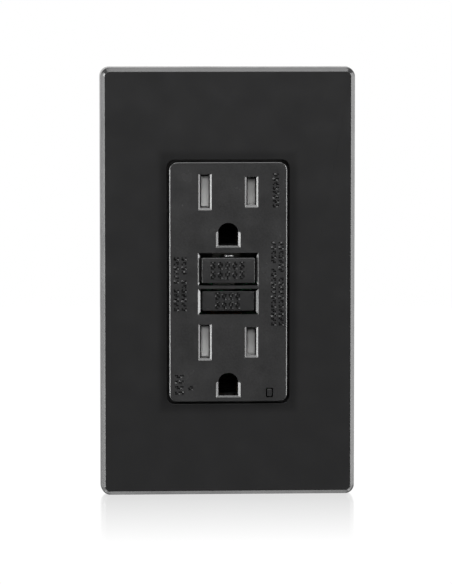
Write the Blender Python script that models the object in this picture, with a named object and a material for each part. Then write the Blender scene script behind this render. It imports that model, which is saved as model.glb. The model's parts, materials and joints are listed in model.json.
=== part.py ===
"""Duplex ground-fault wall outlet with a screwless cover plate.

Frame: origin on the wall plane at the centre of the outlet, +X to the right, +Y into the wall,
+Z up. Lengths below are in millimetres, and every mesh is written in metres.
"""

import math

import bmesh
import bpy
from mathutils import Matrix, Vector

MM = 0.001
GAP = 0.3

# Cover plate
PLATE_W, PLATE_H, PLATE_CORNER = 69.85, 117.5, 2.5
PLATE_FRONT = -6.6
PLATE_SHOULDER = -5.45
PLATE_DRAFT, PLATE_INSET = 0.2, 1.3
PLATE_WALL, PLATE_SKIN = 1.8, 2.2
WINDOW_W, WINDOW_H, WINDOW_CORNER = 33.3, 66.8, 2.2

# Face of the outlet
FACE_W, FACE_H, FACE_CORNER = 32.2, 65.5, 2.1
FACE_FRONT, FACE_SKIN = -7.4, 2.2
BODY_W, BODY_H, BODY_CORNER = 42.5, 68.0, 2.2
SHOULDER_FRONT = -2.9
BODY_WALL = 1.6

# Outlet geometry: blade slots either side of x = 0, ground hole below them
SLOT_X = 6.35
SLOT_W, SLOT_BEVEL = 2.4, 0.7
NEUTRAL_SLOT_H, HOT_SLOT_H = 8.7, 7.2
OUTLETS = {"upper": 24.5, "lower": -16.65}
GROUND_DROP = 11.0
GROUND_R, GROUND_STRAIGHT = 2.7, 3.3

# Buttons
BUTTON_OPENING_W = 15.2
RESET_Z, RESET_W, RESET_H = 3.3, 14.4, 7.0
RESET_OPENING_TOP, RESET_OPENING_BOTTOM = 7.75, -1.0
TEST_Z, TEST_W, TEST_H = -5.2, 14.1, 5.35
TEST_OPENING_TOP, TEST_OPENING_BOTTOM = -1.75, -8.6
RESET_FRONT, TEST_FRONT, BUTTON_BACK = -7.8, -7.1, -3.7
FLANGE_HALF_W, STEM_BACK, SPRING_SEAT = 8.7, 2.0, 4.6
KEY_SPRING_AT = (-1.0, -6.1, 7.28)
INDICATOR_X, INDICATOR_Z, INDICATOR_W, INDICATOR_H = 11.2, -30.3, 1.7, 2.5

# Strap, frame and the two screw spacings
STRAP_T, STRAP_W, STRAP_H = 1.3, 33.0, 106.4
STRAP_INNER_W = 28.0
BOX_SCREW_Z = 83.3 / 2
FRAME_SCREW_Z = 96.8 / 2
FRAME_W, FRAME_H, FRAME_OPENING_W, FRAME_OPENING_H = 62.0, 110.0, 43.5, 69.0
FRAME_FRONT, FRAME_BACK = -3.4, -1.6
SCREW_R = 1.75
BOX_SCREW_HEAD_R, FRAME_SCREW_SINK = 3.45, 0.9
GROUND_TAB_X, GROUND_TAB_Z, GROUND_TAB_HALF_T, GROUND_SCREW_Y = -10.0, -37.4, 0.6, 6.6

# Shutters
SHUTTER_FRONT, SHUTTER_BACK = -4.9, -3.4
SHUTTER_LEFT, SHUTTER_RIGHT, SHUTTER_HALF_H = -12.0, 8.4, 4.9
SHUTTER_TRAVEL, SHUTTER_HOLE_W, SHUTTER_HOLE_HALF_H = 3.0, 3.2, 4.1
GUIDE_HALF_W, GUIDE_HALF_H, GUIDE_FRONT, GUIDE_BACK = 13.6, 5.6, -3.1, -1.9

# Rear housing and what it holds
HOUSING_FRONT, HOUSING_BACK, HOUSING_SKIN = 0.3, 27.5, 2.6
POST_X, POST_Z, POST_R, POST_HOLE_R = 17.3, 29.8, 2.4, 1.5
CARRIER_FRONT, CARRIER_BACK, CARRIER_WALL = 0.6, 9.8, 1.2
BOARD_FRONT, BOARD_T, BOARD_W, BOARD_H = 22.6, 1.6, 29.0, 62.0
BUS_X, SHEET = 16.2, 0.8
BUS_FRONT, BUS_BACK = 2.6, 8.6
PAD_X, PAD_Z, PAD_R, ARM_FRONT = 11.5, 10.0, 1.4, 10.9
GROUND_CLIP_DROP = GROUND_DROP + 0.4
TERMINAL_Y = 15.2
LOAD_TERMINAL_Z, LINE_TERMINAL_Z = 14.1, -16.5
CLAMP_SIZE, CLAMP_T = 9.4, 1.4
TERMINAL_HALF = 5.2
SOLENOID_Y, SOLENOID_Z, SOLENOID_L = 16.6, -14.0, 14.0
TOROID_Z = 20.0
LATCH_FRONT, LATCH_BACK = 11.6, 18.4
LATCH_PLATE_Y = 15.9
LAMP_FRONT = 18.0


# ---------------------------------------------------------------- shapes


def outline(width, height, radius, x=0.0, z=0.0, steps=4):
    """Rounded rectangle in the XZ plane, anticlockwise seen from the front."""
    points = []
    for sx, sz, start in ((1, -1, -90), (1, 1, 0), (-1, 1, 90), (-1, -1, 180)):
        cx, cz = x + sx * (width / 2 - radius), z + sz * (height / 2 - radius)
        for i in range(steps + 1):
            a = math.radians(start + 90 * i / steps)
            points.append((cx + radius * math.cos(a), cz + radius * math.sin(a)))
    return points


def rectangle(x0, x1, z0, z1):
    return [(x0, z0), (x1, z0), (x1, z1), (x0, z1)]


def disc(radius, x=0.0, z=0.0, steps=16):
    turn = [2 * math.pi * i / steps for i in range(steps)]
    return [(x + radius * math.cos(a), z + radius * math.sin(a)) for a in turn]


def ground_outline(z, grow=0.0, steps=10):
    """D shape: an arch on top of a straight-sided part with a flat bottom."""
    r = GROUND_R + grow
    arch = [math.pi * i / steps for i in range(steps + 1)]
    bottom = z - GROUND_STRAIGHT - grow
    sides = [(r * math.cos(a), z + r * math.sin(a)) for a in arch]
    return [(r, bottom)] + sides + [(-r, bottom)]


def loft(sections):
    """Closed body through (outline, y) sections, which run from front to back."""
    bm = bmesh.new()
    rings = []
    for points, y in sections:
        rings.append([bm.verts.new((x * MM, y * MM, z * MM)) for x, z in points])
    for near, far in zip(rings, rings[1:]):
        for i in range(len(near)):
            j = (i + 1) % len(near)
            bm.faces.new((near[i], far[i], far[j], near[j]))
    bm.faces.new(rings[0])
    bm.faces.new(list(reversed(rings[-1])))
    bmesh.ops.recalc_face_normals(bm, faces=bm.faces)
    return bm


def prism(points, front, back):
    return loft([(points, front), (points, back)])


def block(x0, x1, y0, y1, z0, z1):
    return prism(rectangle(x0, x1, z0, z1), y0, y1)


def turned(profile, steps=16):
    """Body of revolution about the Y axis through (radius, y) points, front to back."""
    return loft([(disc(r, steps=steps), y) for r, y in profile])


def coil(radius, wire, length, turns, per_turn=8, sides=5):
    """Closed-ended helical spring along Y, from y = 0."""
    bm = bmesh.new()
    rings = []
    count = int(turns * per_turn)
    for i in range(count + 1):
        t = i / count
        a = 2 * math.pi * turns * t
        out = Vector((math.cos(a), 0, math.sin(a)))
        centre = radius * out + Vector((0, wire + (length - 2 * wire) * t, 0))
        ring = []
        for k in range(sides):
            b = 2 * math.pi * k / sides
            offset = out * math.cos(b) + Vector((0, math.sin(b), 0))
            ring.append(bm.verts.new((centre + wire * offset) * MM))
        rings.append(ring)
    for near, far in zip(rings, rings[1:]):
        for k in range(sides):
            n = (k + 1) % sides
            bm.faces.new((near[k], near[n], far[n], far[k]))
    bm.faces.new(rings[0])
    bm.faces.new(list(reversed(rings[-1])))
    bmesh.ops.recalc_face_normals(bm, faces=bm.faces)
    return bm


# ---------------------------------------------------------------- objects


def colour(name, rgb, roughness, metallic=0.0, alpha=1.0):
    mat = bpy.data.materials.new(name)
    mat.use_nodes = True
    shader = mat.node_tree.nodes["Principled BSDF"]
    shader.inputs["Base Color"].default_value = (*rgb, 1.0)
    shader.inputs["Roughness"].default_value = roughness
    shader.inputs["Metallic"].default_value = metallic
    shader.inputs["Alpha"].default_value = alpha
    return mat


def place(name, bm, mat, at=(0, 0, 0), turn=(0, 0, 0), parent=None, smooth=True):
    """Make an object at `at` (millimetres), turned by `turn` (degrees), and shade it."""
    mesh = bpy.data.meshes.new(name)
    bm.to_mesh(mesh)
    bm.free()
    if smooth:
        mesh.shade_smooth()
        mesh.set_sharp_from_angle(angle=math.radians(35))
    mesh.materials.append(mat)
    obj = bpy.data.objects.new(name, mesh)
    bpy.context.scene.collection.objects.link(obj)
    obj.location = Vector(at) * MM
    obj.rotation_euler = [math.radians(a) for a in turn]
    if parent:
        obj.parent = parent
    return obj


def pivot(name, at):
    """Empty on a joint's axis, at `at` in millimetres."""
    obj = bpy.data.objects.new(name, None)
    bpy.context.scene.collection.objects.link(obj)
    obj.location = Vector(at) * MM
    return obj


def combine(obj, tools, operation):
    """Boolean each tool mesh into obj, in its own frame."""
    for number, bm in enumerate(tools):
        name = f"{obj.name}_{operation.lower()}_{number}"
        mesh = bpy.data.meshes.new(name)
        bm.to_mesh(mesh)
        bm.free()
        tool = bpy.data.objects.new(name, mesh)
        bpy.context.scene.collection.objects.link(tool)
        tool.matrix_world = obj.matrix_basis.copy()
        tool.hide_render = True
        tool.display_type = "WIRE"
        modifier = obj.modifiers.new(name, "BOOLEAN")
        modifier.operation = operation
        modifier.solver = "EXACT"
        modifier.object = tool


def add(obj, *tools):
    combine(obj, tools, "UNION")


def cut(obj, *tools):
    combine(obj, tools, "DIFFERENCE")


def slotted_screw(head_r, head_t, shank_r, shank_l, steps=14, dome=0.0):
    """Screw along +Y: head from y = -head_t to 0, shank behind it."""
    profile = [(head_r - dome, -head_t), (head_r, -head_t + dome), (head_r, 0), (shank_r, 0)]
    if not dome:
        profile = [(head_r, -head_t), (head_r, 0), (shank_r, 0)]
    tip = min(0.5, shank_l / 4)
    profile += [(shank_r, shank_l - tip), (shank_r - tip * 0.7, shank_l)]
    return turned(profile, steps)


def driver_slot(head_r, head_t, width=0.9, depth=0.7):
    return block(-head_r - 1, head_r + 1, -head_t - 1, -head_t + depth, -width / 2, width / 2)


# ---------------------------------------------------------------- materials

for old in list(bpy.data.objects):
    bpy.data.objects.remove(old, do_unlink=True)

SATIN_BLACK = colour("satin_black_plastic", (0.024, 0.024, 0.025), 0.35)
FACE_BLACK = colour("moulded_black_plastic", (0.034, 0.034, 0.035), 0.45)
BUTTON_BLACK = colour("button_black_plastic", (0.028, 0.028, 0.029), 0.4)
SHUTTER_GREY = colour("shutter_grey_plastic", (0.22, 0.22, 0.22), 0.5)
WINDOW_SMOKE = colour("smoked_light_pipe", (0.05, 0.05, 0.05), 0.2)
ZINC = colour("zinc_plated_steel", (0.6, 0.6, 0.58), 0.35, 1.0)
SPRING_STEEL = colour("spring_steel", (0.5, 0.5, 0.5), 0.3, 1.0)
BRASS = colour("brass", (0.72, 0.5, 0.2), 0.3, 1.0)
NICKEL = colour("nickel_plated_brass", (0.66, 0.64, 0.58), 0.3, 1.0)
GREEN_STEEL = colour("green_zinc_steel", (0.08, 0.32, 0.12), 0.4, 0.8)
COPPER = colour("enamelled_copper", (0.5, 0.2, 0.09), 0.35, 1.0)
FRAME_PLASTIC = colour("frame_grey_plastic", (0.1, 0.1, 0.1), 0.55)
CARRIER_PLASTIC = colour("carrier_plastic", (0.5, 0.48, 0.42), 0.55)
HOUSING_PLASTIC = colour("housing_plastic", (0.3, 0.3, 0.3), 0.5)
BOBBIN_PLASTIC = colour("bobbin_plastic", (0.6, 0.58, 0.5), 0.5)
FIBRE = colour("fibre_washer", (0.35, 0.2, 0.1), 0.8)
BOARD_GREEN = colour("board_laminate", (0.03, 0.16, 0.07), 0.4)
CERAMIC_BLUE = colour("varistor_coating", (0.05, 0.12, 0.35), 0.4)
CAPACITOR_RED = colour("capacitor_coating", (0.35, 0.1, 0.05), 0.4)
CHIP_BLACK = colour("chip_epoxy", (0.02, 0.02, 0.02), 0.5)
LED_CLEAR = colour("led_epoxy", (0.3, 0.6, 0.3), 0.15)
FERRITE = colour("wound_ferrite", (0.45, 0.2, 0.1), 0.4, 0.6)


# ---------------------------------------------------------------- cover plate and its frame


def cover_plate():
    """Drafted shell with a chamfered rim, open at the back, and four lugs for the frame."""
    def ring(inset, corner):
        return outline(PLATE_W - 2 * inset, PLATE_H - 2 * inset, corner, steps=5)

    shell = loft([
        (ring(PLATE_INSET, PLATE_CORNER - 0.9), PLATE_FRONT),
        (ring(PLATE_DRAFT, PLATE_CORNER), PLATE_SHOULDER),
        (ring(0, PLATE_CORNER), 0),
    ])
    plate = place("cover_plate", shell, SATIN_BLACK)
    inner = outline(PLATE_W - 2 * PLATE_WALL, PLATE_H - 2 * PLATE_WALL, 1.5, steps=3)
    window = outline(WINDOW_W, WINDOW_H, WINDOW_CORNER, steps=4)
    cut(plate, prism(inner, PLATE_FRONT + PLATE_SKIN, 1), prism(window, PLATE_FRONT - 1, 1))
    lug_root, lug_tip = PLATE_W / 2 - PLATE_WALL + 0.4, FRAME_W / 2 + GAP
    for side in (-1, 1):
        for z in (-32, 32):
            x0, x1 = sorted((side * lug_tip, side * lug_root))
            add(plate, block(x0, x1, PLATE_FRONT + PLATE_SKIN - 0.3, -1.0, z - 4, z + 4))
    return plate


def mounting_frame():
    """Flat ring over the strap that the cover plate clips to."""
    ring = place("mounting_frame", prism(outline(FRAME_W, FRAME_H, 3.0), FRAME_FRONT, FRAME_BACK),
                 FRAME_PLASTIC)
    opening = outline(FRAME_OPENING_W, FRAME_OPENING_H, 2.0, steps=2)
    cut(ring, prism(opening, FRAME_FRONT - 1, FRAME_BACK + 1))
    notch_r = 3.9
    for side in (-1, 1):
        lip = side * (FRAME_OPENING_H / 2 - 1)
        z0, z1 = sorted((lip, side * BOX_SCREW_Z))
        cut(ring, prism(disc(notch_r, 0, side * BOX_SCREW_Z, 12), FRAME_FRONT - 1, FRAME_BACK + 1))
        cut(ring, block(-notch_r, notch_r, FRAME_FRONT - 1, FRAME_BACK + 1, z0, z1))
        cut(ring, prism(disc(3.3, 0, side * FRAME_SCREW_Z, 12), FRAME_FRONT - 1,
                        FRAME_BACK - FRAME_SCREW_SINK))
        cut(ring, prism(disc(SCREW_R + 0.35, 0, side * FRAME_SCREW_Z, 12), FRAME_FRONT - 1, 0))
    return ring


def frame_screws():
    """Pan-head screws that hold the mounting frame to the strap."""
    for label, side in (("top", 1), ("bottom", -1)):
        head_t, head_r = 1.2, 2.9
        seat = FRAME_BACK - FRAME_SCREW_SINK - GAP
        screw = place(f"frame_screw_{label}", slotted_screw(head_r, head_t, SCREW_R, -0.2 - seat),
                      ZINC, at=(0, seat, side * FRAME_SCREW_Z))
        cut(screw, driver_slot(head_r, head_t, depth=0.6))


# ---------------------------------------------------------------- face cover


def blade_slot(x, z, height):
    """Cutter for one blade slot: a bevelled mouth that narrows to a straight channel."""
    def mouth(grow):
        return rectangle(x - SLOT_W / 2 - grow, x + SLOT_W / 2 + grow,
                         z - height / 2 - grow, z + height / 2 + grow)

    over = 0.2
    return loft([
        (mouth(SLOT_BEVEL + over), FACE_FRONT - over),
        (mouth(0), FACE_FRONT + SLOT_BEVEL),
        (mouth(0), FACE_FRONT + FACE_SKIN + 1),
    ])


def button_opening(bottom, top):
    """Cutter for a button's opening, with bevelled sides."""
    half, bevel, over = BUTTON_OPENING_W / 2, 0.5, 0.2

    def mouth(grow):
        return rectangle(-half - grow, half + grow, bottom, top)

    return loft([
        (mouth(bevel + over), FACE_FRONT - over),
        (mouth(0), FACE_FRONT + bevel),
        (mouth(0), FACE_FRONT + FACE_SKIN + 1),
    ])


def face_cover():
    chamfer = 0.4
    front = loft([
        (outline(FACE_W - 2 * chamfer, FACE_H - 2 * chamfer, FACE_CORNER - chamfer), FACE_FRONT),
        (outline(FACE_W, FACE_H, FACE_CORNER), FACE_FRONT + chamfer),
        (outline(FACE_W, FACE_H, FACE_CORNER), SHOULDER_FRONT + 1),
    ])
    cover = place("face_cover", front, FACE_BLACK)
    add(cover, prism(outline(BODY_W, BODY_H, BODY_CORNER), SHOULDER_FRONT, 0))
    room = outline(FACE_W - 3.6, FACE_H - 3.2, 0.8, steps=2)
    wide_room = outline(BODY_W - 2 * BODY_WALL, BODY_H - 2 * BODY_WALL, 1.0, steps=2)
    strap_front = -STRAP_T - GAP
    cut(cover, prism(room, FACE_FRONT + FACE_SKIN, 1), prism(wide_room, strap_front, 1))
    for sx in (-1, 1):
        for sz in (-1, 1):
            add(cover, prism(disc(POST_R, sx * POST_X, sz * POST_Z, 12), strap_front - 0.3, 0))
    for sz in (-1, 1):
        z0, z1 = sorted((sz * 31, sz * 35))
        notch = STRAP_INNER_W / 2 + GAP
        cut(cover, block(-notch, notch, strap_front, 1, z0, z1))
    for sx in (-1, 1):
        for sz in (-1, 1):
            cut(cover, prism(disc(POST_HOLE_R, sx * POST_X, sz * POST_Z, 10), -2.3, 1))
    for z in OUTLETS.values():
        cut(cover, blade_slot(-SLOT_X, z, NEUTRAL_SLOT_H), blade_slot(SLOT_X, z, HOT_SLOT_H))
        cut(cover, prism(ground_outline(z - GROUND_DROP), FACE_FRONT - 1, FACE_FRONT + FACE_SKIN + 1))
    cut(cover, button_opening(RESET_OPENING_BOTTOM, RESET_OPENING_TOP))
    cut(cover, button_opening(TEST_OPENING_BOTTOM, TEST_OPENING_TOP))
    pipe = outline(INDICATOR_W + 2 * GAP, INDICATOR_H + 2 * GAP, 0.4, INDICATOR_X, INDICATOR_Z, 2)
    cut(cover, prism(pipe, FACE_FRONT - 1, 1))
    return cover


def button(name, z, width, height, front, mat, parent=None):
    """Crowned key with a retaining flange at each side, behind the face's wall."""
    edge = 0.35
    key = loft([
        (outline(width - 2 * edge, height - 2 * edge, 0.4, 0, z, 2), front),
        (outline(width, height, 0.7, 0, z, 2), front + edge),
        (outline(width, height, 0.7, 0, z, 2), BUTTON_BACK),
    ])
    obj = place(name, key, mat, parent=parent)
    flange = FACE_FRONT + FACE_SKIN + GAP
    add(obj, block(-FLANGE_HALF_W, FLANGE_HALF_W, flange, BUTTON_BACK - 0.1,
                   z - height / 2 + 0.5, z + height / 2 - 0.5))
    return obj


def buttons():
    reset = button("reset_button", RESET_Z, RESET_W, RESET_H, RESET_FRONT, BUTTON_BLACK)
    stem_r, bore_r = 2.6, 1.3
    add(reset, prism(disc(stem_r, 0, RESET_Z, 14), BUTTON_BACK - 0.3, STEM_BACK))
    cut(reset, prism(disc(bore_r, 0, RESET_Z, 12), -2.0, STEM_BACK + 1))
    test = button("test_button", TEST_Z, TEST_W, TEST_H, TEST_FRONT, BUTTON_BLACK)
    add(test, block(-1.5, 1.5, BUTTON_BACK - 0.3, 0.5, TEST_Z - 1.5, TEST_Z + 1.5))
    start = BUTTON_BACK + GAP
    place("reset_spring", coil(3.45, 0.28, SPRING_SEAT - GAP - start, 5), SPRING_STEEL,
          at=(0, start, RESET_Z))
    place("reset_key_spring", coil(0.26, 0.1, 2.45, 5), SPRING_STEEL, at=KEY_SPRING_AT,
          turn=(0, 0, -90))
    leaf = place("test_contact_spring", block(-1.5, 8.6, 2.2, 2.6, TEST_Z - 0.8, TEST_Z + 0.8),
                 SPRING_STEEL, smooth=False)
    add(leaf, block(8.2, 8.6, 2.3, BOARD_FRONT - GAP, TEST_Z - 0.8, TEST_Z + 0.8))


def indicator():
    pipe = outline(INDICATOR_W, INDICATOR_H, 0.25, 0, 0, 2)
    place("indicator_window", prism(pipe, FACE_FRONT, LAMP_FRONT - GAP), WINDOW_SMOKE,
          at=(INDICATOR_X, 0, INDICATOR_Z))
    lamp = turned([(0.8, 0), (1.25, 0.4), (1.5, 1.2), (1.5, BOARD_FRONT - GAP - LAMP_FRONT)], 12)
    place("indicator_led", lamp, LED_CLEAR, at=(INDICATOR_X, LAMP_FRONT, INDICATOR_Z))


def shutters():
    """Sliding shutter behind each pair of slots, its guide and its return spring."""
    middle, depth = (SHUTTER_FRONT + SHUTTER_BACK) / 2, (SHUTTER_BACK - SHUTTER_FRONT) / 2
    for label, z in OUTLETS.items():
        slide = pivot(f"{label}_shutter_axis", (0, middle, z))
        plate = place(f"{label}_shutter",
                      block(SHUTTER_LEFT, SHUTTER_RIGHT, -depth, depth, -SHUTTER_HALF_H, SHUTTER_HALF_H),
                      SHUTTER_GREY, parent=slide, smooth=False)
        for x in (-SLOT_X, SLOT_X):
            left = x - SHUTTER_TRAVEL - SHUTTER_HOLE_W / 2
            right = left + SHUTTER_HOLE_W
            cut(plate, block(left, right, -3, 3, -SHUTTER_HOLE_HALF_H, SHUTTER_HOLE_HALF_H))
            cut(plate, ramp(right - 0.2, right + 2.9, depth, 1.2))
        for tool in [m.object for m in plate.modifiers]:
            tool.parent = slide
        z0, z1 = z - GUIDE_HALF_H, z + GUIDE_HALF_H
        guide = place(f"{label}_shutter_guide",
                      block(-GUIDE_HALF_W, GUIDE_HALF_W, GUIDE_FRONT, GUIDE_BACK, z0, z1),
                      CARRIER_PLASTIC, smooth=False)
        for side in (-1, 1):
            x0, x1 = sorted((side * (GUIDE_HALF_W - 1.0), side * GUIDE_HALF_W))
            add(guide, block(x0, x1, SHUTTER_FRONT, GUIDE_FRONT + 0.1, z0, z1))
            cut(guide, block(side * SLOT_X - 1.7, side * SLOT_X + 1.7, -4, -1, z - 4.6, z + 4.6))
        place(f"{label}_shutter_spring", coil(0.5, 0.12, 3.6, 2.5), SPRING_STEEL,
              at=(SHUTTER_RIGHT + GAP, middle, z), turn=(0, 0, -90))


def ramp(x0, x1, half_t, drop):
    """Wedge cutter that slopes the shutter's front from deep at x0 to flush at x1."""
    bm = bmesh.new()
    corners = [(x0, -half_t - 0.3), (x1 + 0.6, -half_t - 0.3), (x0, -half_t + drop)]
    low = [bm.verts.new((x * MM, y * MM, -SHUTTER_HOLE_HALF_H * MM)) for x, y in corners]
    high = [bm.verts.new((x * MM, y * MM, SHUTTER_HOLE_HALF_H * MM)) for x, y in corners]
    bm.faces.new(low)
    bm.faces.new(list(reversed(high)))
    for i in range(3):
        j = (i + 1) % 3
        bm.faces.new((low[i], high[i], high[j], low[j]))
    bmesh.ops.recalc_face_normals(bm, faces=bm.faces)
    return bm


# ---------------------------------------------------------------- strap


def mounting_strap():
    """Yoke with ears, box-screw slots, tapped frame-screw holes and windows for the plug."""
    ear_h = (STRAP_H - BODY_H) / 2 - GAP
    ear_z = STRAP_H / 2 - ear_h / 2
    strap = place("mounting_strap",
                  block(-STRAP_INNER_W / 2, STRAP_INNER_W / 2, -STRAP_T, 0, -ear_z, ear_z), ZINC)
    for side in (-1, 1):
        ear = outline(STRAP_W, ear_h, 3.0, 0, side * ear_z, 3)
        add(strap, prism(ear, -STRAP_T, 0))
    tab_half_w, tab_back = 4.6, 11.2
    add(strap, block(GROUND_TAB_X - tab_half_w, GROUND_TAB_X + tab_half_w, -0.6, tab_back,
                     GROUND_TAB_Z - GROUND_TAB_HALF_T, GROUND_TAB_Z + GROUND_TAB_HALF_T))
    through = (-STRAP_T - 1, 1)
    for side in (-1, 1):
        slot = outline(8.0, 2 * SCREW_R + 0.7, SCREW_R + 0.3, 0, side * BOX_SCREW_Z, 3)
        cut(strap, prism(slot, *through))
        cut(strap, prism(disc(SCREW_R + 0.35, 0, side * FRAME_SCREW_Z, 12), *through))
    for z in OUTLETS.values():
        cut(strap, prism(outline(19.2, 10.2, 0.8, 0, z, 2), *through))
        cut(strap, prism(ground_outline(z - GROUND_DROP, 0.5, 8), *through))
    cut(strap, prism(outline(18.4, 17.8, 0.8, 0, -0.7, 2), *through))
    cut(strap, block(9.2, 15, *through, -32.4, -28.2))
    bolt = turned([(SCREW_R + 0.35, -3), (SCREW_R + 0.35, 3)], 12)
    bmesh.ops.rotate(bolt, verts=bolt.verts, cent=(0, 0, 0), matrix=Matrix.Rotation(math.pi / 2, 3, "X"))
    bmesh.ops.translate(bolt, verts=bolt.verts,
                        vec=Vector((GROUND_TAB_X, GROUND_SCREW_Y, GROUND_TAB_Z)) * MM)
    cut(strap, bolt)
    head_r, head_t = 4.2, 2.6
    seat = GROUND_TAB_Z - GROUND_TAB_HALF_T - GAP
    screw = place("ground_screw", slotted_screw(head_r, head_t, SCREW_R, 3.6, steps=12), GREEN_STEEL,
                  at=(GROUND_TAB_X, GROUND_SCREW_Y, seat), turn=(90, 0, 0))
    cut(screw, driver_slot(head_r, head_t, width=1.1, depth=1.0))


def ground_contacts():
    """Clip behind each ground hole: a base on the strap and two leaves that grip the pin."""
    for label, z in OUTLETS.items():
        zc = z - GROUND_CLIP_DROP
        clip = place(f"{label}_ground_contact", block(-5.4, 5.4, 0.3, 1.1, zc - 3.9, zc + 3.6),
                     BRASS, smooth=False)
        cut(clip, block(-2.8, 2.8, -1, 2, zc - 3.2, zc + 2.9))
        for side in (-1, 1):
            x0, x1 = sorted((side * 2.8, side * 3.6))
            add(clip, block(x0, x1, 0.4, 8.0, zc - 2.9, zc + 2.6))


def box_screws():
    """Long screws for the wall box, each kept in its slot by a fibre washer."""
    head_r, head_t, shank_l = BOX_SCREW_HEAD_R, 2.0, 21.0
    for label, side in (("top", 1), ("bottom", -1)):
        screw = place(f"box_screw_{label}",
                      slotted_screw(head_r, head_t, SCREW_R, shank_l, dome=0.6), ZINC,
                      at=(0, -STRAP_T - GAP, side * BOX_SCREW_Z))
        cut(screw, driver_slot(head_r, head_t))
        washer = place(f"box_screw_retainer_{label}", prism(outline(8.6, 8.6, 1.0, 0, 0, 2), 0.3, 1.1),
                       FIBRE, at=(0, 0, side * BOX_SCREW_Z), smooth=False)
        cut(washer, prism(disc(SCREW_R + GAP, steps=12), -1, 2))


# ---------------------------------------------------------------- contacts


def contact_carrier():
    """Insulating tray behind the strap, open at the back, with the reset spring's seat."""
    z0, z1, half_w = -27.0, 30.0, 19.2
    tray = place("contact_carrier", block(-half_w, half_w, CARRIER_FRONT, CARRIER_BACK, z0, z1),
                 CARRIER_PLASTIC, smooth=False)
    wall = CARRIER_WALL
    cut(tray, block(-half_w + wall, half_w - wall, CARRIER_FRONT + wall, CARRIER_BACK + 1,
                    z0 + wall, z1 - wall))
    cut(tray, block(-9.0, 9.0, -1, 3, TEST_OPENING_BOTTOM, RESET_OPENING_TOP))
    for z in OUTLETS.values():
        for x in (-SLOT_X, SLOT_X):
            cut(tray, block(x - 1.7, x + 1.7, -1, 3, z - 4.8, z + 4.8))
        zc = z - GROUND_CLIP_DROP
        cut(tray, block(-5.9, 5.9, -1, 1.5, zc - 4.4, zc + 4.1))
        cut(tray, block(-4.0, 4.0, -1, CARRIER_BACK + 1, zc - 4.4, zc + 3.0))
    for sx in (-1, 1):
        for sz in (-1, 1):
            cut(tray, prism(disc(POST_R + 0.4, sx * POST_X, sz * POST_Z, 12), -1, CARRIER_BACK + 1))
    add(tray, block(-10.1, 10.1, SPRING_SEAT, SPRING_SEAT + 1.2, -1.4, 8.0))
    for x0 in (-10.1, 9.3):
        add(tray, block(x0, x0 + 0.8, 1.2, 5.0, -1.3, 7.9))
    cut(tray, prism(disc(1.6, 0, RESET_Z, 12), 4, 7))


def blade_clip(obj, side, z, bridge_z):
    """Two leaves that grip a blade, joined to the bus bar by a bridge."""
    x_near, x_far = sorted((side * (SLOT_X - 1.8), side * (BUS_X + SHEET)))
    low, high = BUS_FRONT, BUS_BACK
    add(obj, block(x_near, x_far, low, high, bridge_z, bridge_z + SHEET))
    for inner in (SLOT_X - 1.8, SLOT_X + 1.0):
        x0, x1 = sorted((side * inner, side * (inner + SHEET)))
        add(obj, block(x0, x1, low + 0.1, high - 0.1, bridge_z + SHEET / 2, z + 3.5))


def terminal_hole(x, z, radius=2.2):
    bm = turned([(radius, -2), (radius, 2)], 12)
    bmesh.ops.rotate(bm, verts=bm.verts, cent=(0, 0, 0), matrix=Matrix.Rotation(math.pi / 2, 3, "Z"))
    bmesh.ops.translate(bm, verts=bm.verts, vec=Vector((x, TERMINAL_Y, z)) * MM)
    return bm


def load_contacts():
    """Bus bar with two blade clips, a fixed contact pad and the load terminal's tab."""
    for label, side, mat in (("hot", 1, BRASS), ("neutral", -1, NICKEL)):
        x0, x1 = sorted((side * BUS_X, side * (BUS_X + SHEET)))
        bar = place(f"load_{label}_contact", block(x0, x1, BUS_FRONT, BUS_BACK, -21.4, 20.4), mat,
                    smooth=False)
        blade_clip(bar, side, OUTLETS["upper"], 19.6)
        blade_clip(bar, side, OUTLETS["lower"], -21.4)
        add(bar, block(x0, x1, 8.0, 20.2, LOAD_TERMINAL_Z - 5.4, LOAD_TERMINAL_Z + 5.4))
        t0, t1 = sorted((side * 10.2, side * (BUS_X + 0.4)))
        add(bar, block(t0, t1, 7.7, 8.5, 8.0, 12.0))
        add(bar, prism(disc(PAD_R, side * PAD_X, PAD_Z, 10), 8.3, 9.6))
        cut(bar, terminal_hole(side * (BUS_X + SHEET / 2), LOAD_TERMINAL_Z))


def contact_arms():
    """Spring arms from the board to the moving contact pads, lifted by the latch block."""
    for label, side, mat in (("hot", 1, BRASS), ("neutral", -1, NICKEL)):
        x0, x1 = sorted((side * 10.4, side * 12.6))
        arm = place(f"{label}_contact_arm", block(x0, x1, ARM_FRONT, ARM_FRONT + 0.4, -10.0, 12.6),
                    mat, smooth=False)
        add(arm, prism(disc(PAD_R, side * PAD_X, PAD_Z, 10), ARM_FRONT - 1.0, ARM_FRONT + 0.1))
        add(arm, block(x0, x1, 11.0, BOARD_FRONT - GAP, -10.0, -9.5))


def line_terminals():
    for label, side, mat in (("hot", 1, BRASS), ("neutral", -1, NICKEL)):
        x0, x1 = sorted((side * BUS_X, side * (BUS_X + SHEET)))
        z0, z1 = LINE_TERMINAL_Z - 5.4, LINE_TERMINAL_Z + 5.4
        plate = place(f"line_{label}_terminal", block(x0, x1, 10.2, 20.6, z0, z1), mat, smooth=False)
        f0, f1 = sorted((side * 12.9, side * (BUS_X + 0.4)))
        add(plate, block(f0, f1, 19.7, 20.5, z0 + 0.1, z0 + 3.1))
        g0, g1 = sorted((side * 12.9, side * 13.7))
        add(plate, block(g0, g1, 19.8, BOARD_FRONT - GAP, z0 + 0.2, z0 + 3.0))
        cut(plate, terminal_hole(side * (BUS_X + SHEET / 2), LINE_TERMINAL_Z))


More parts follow.
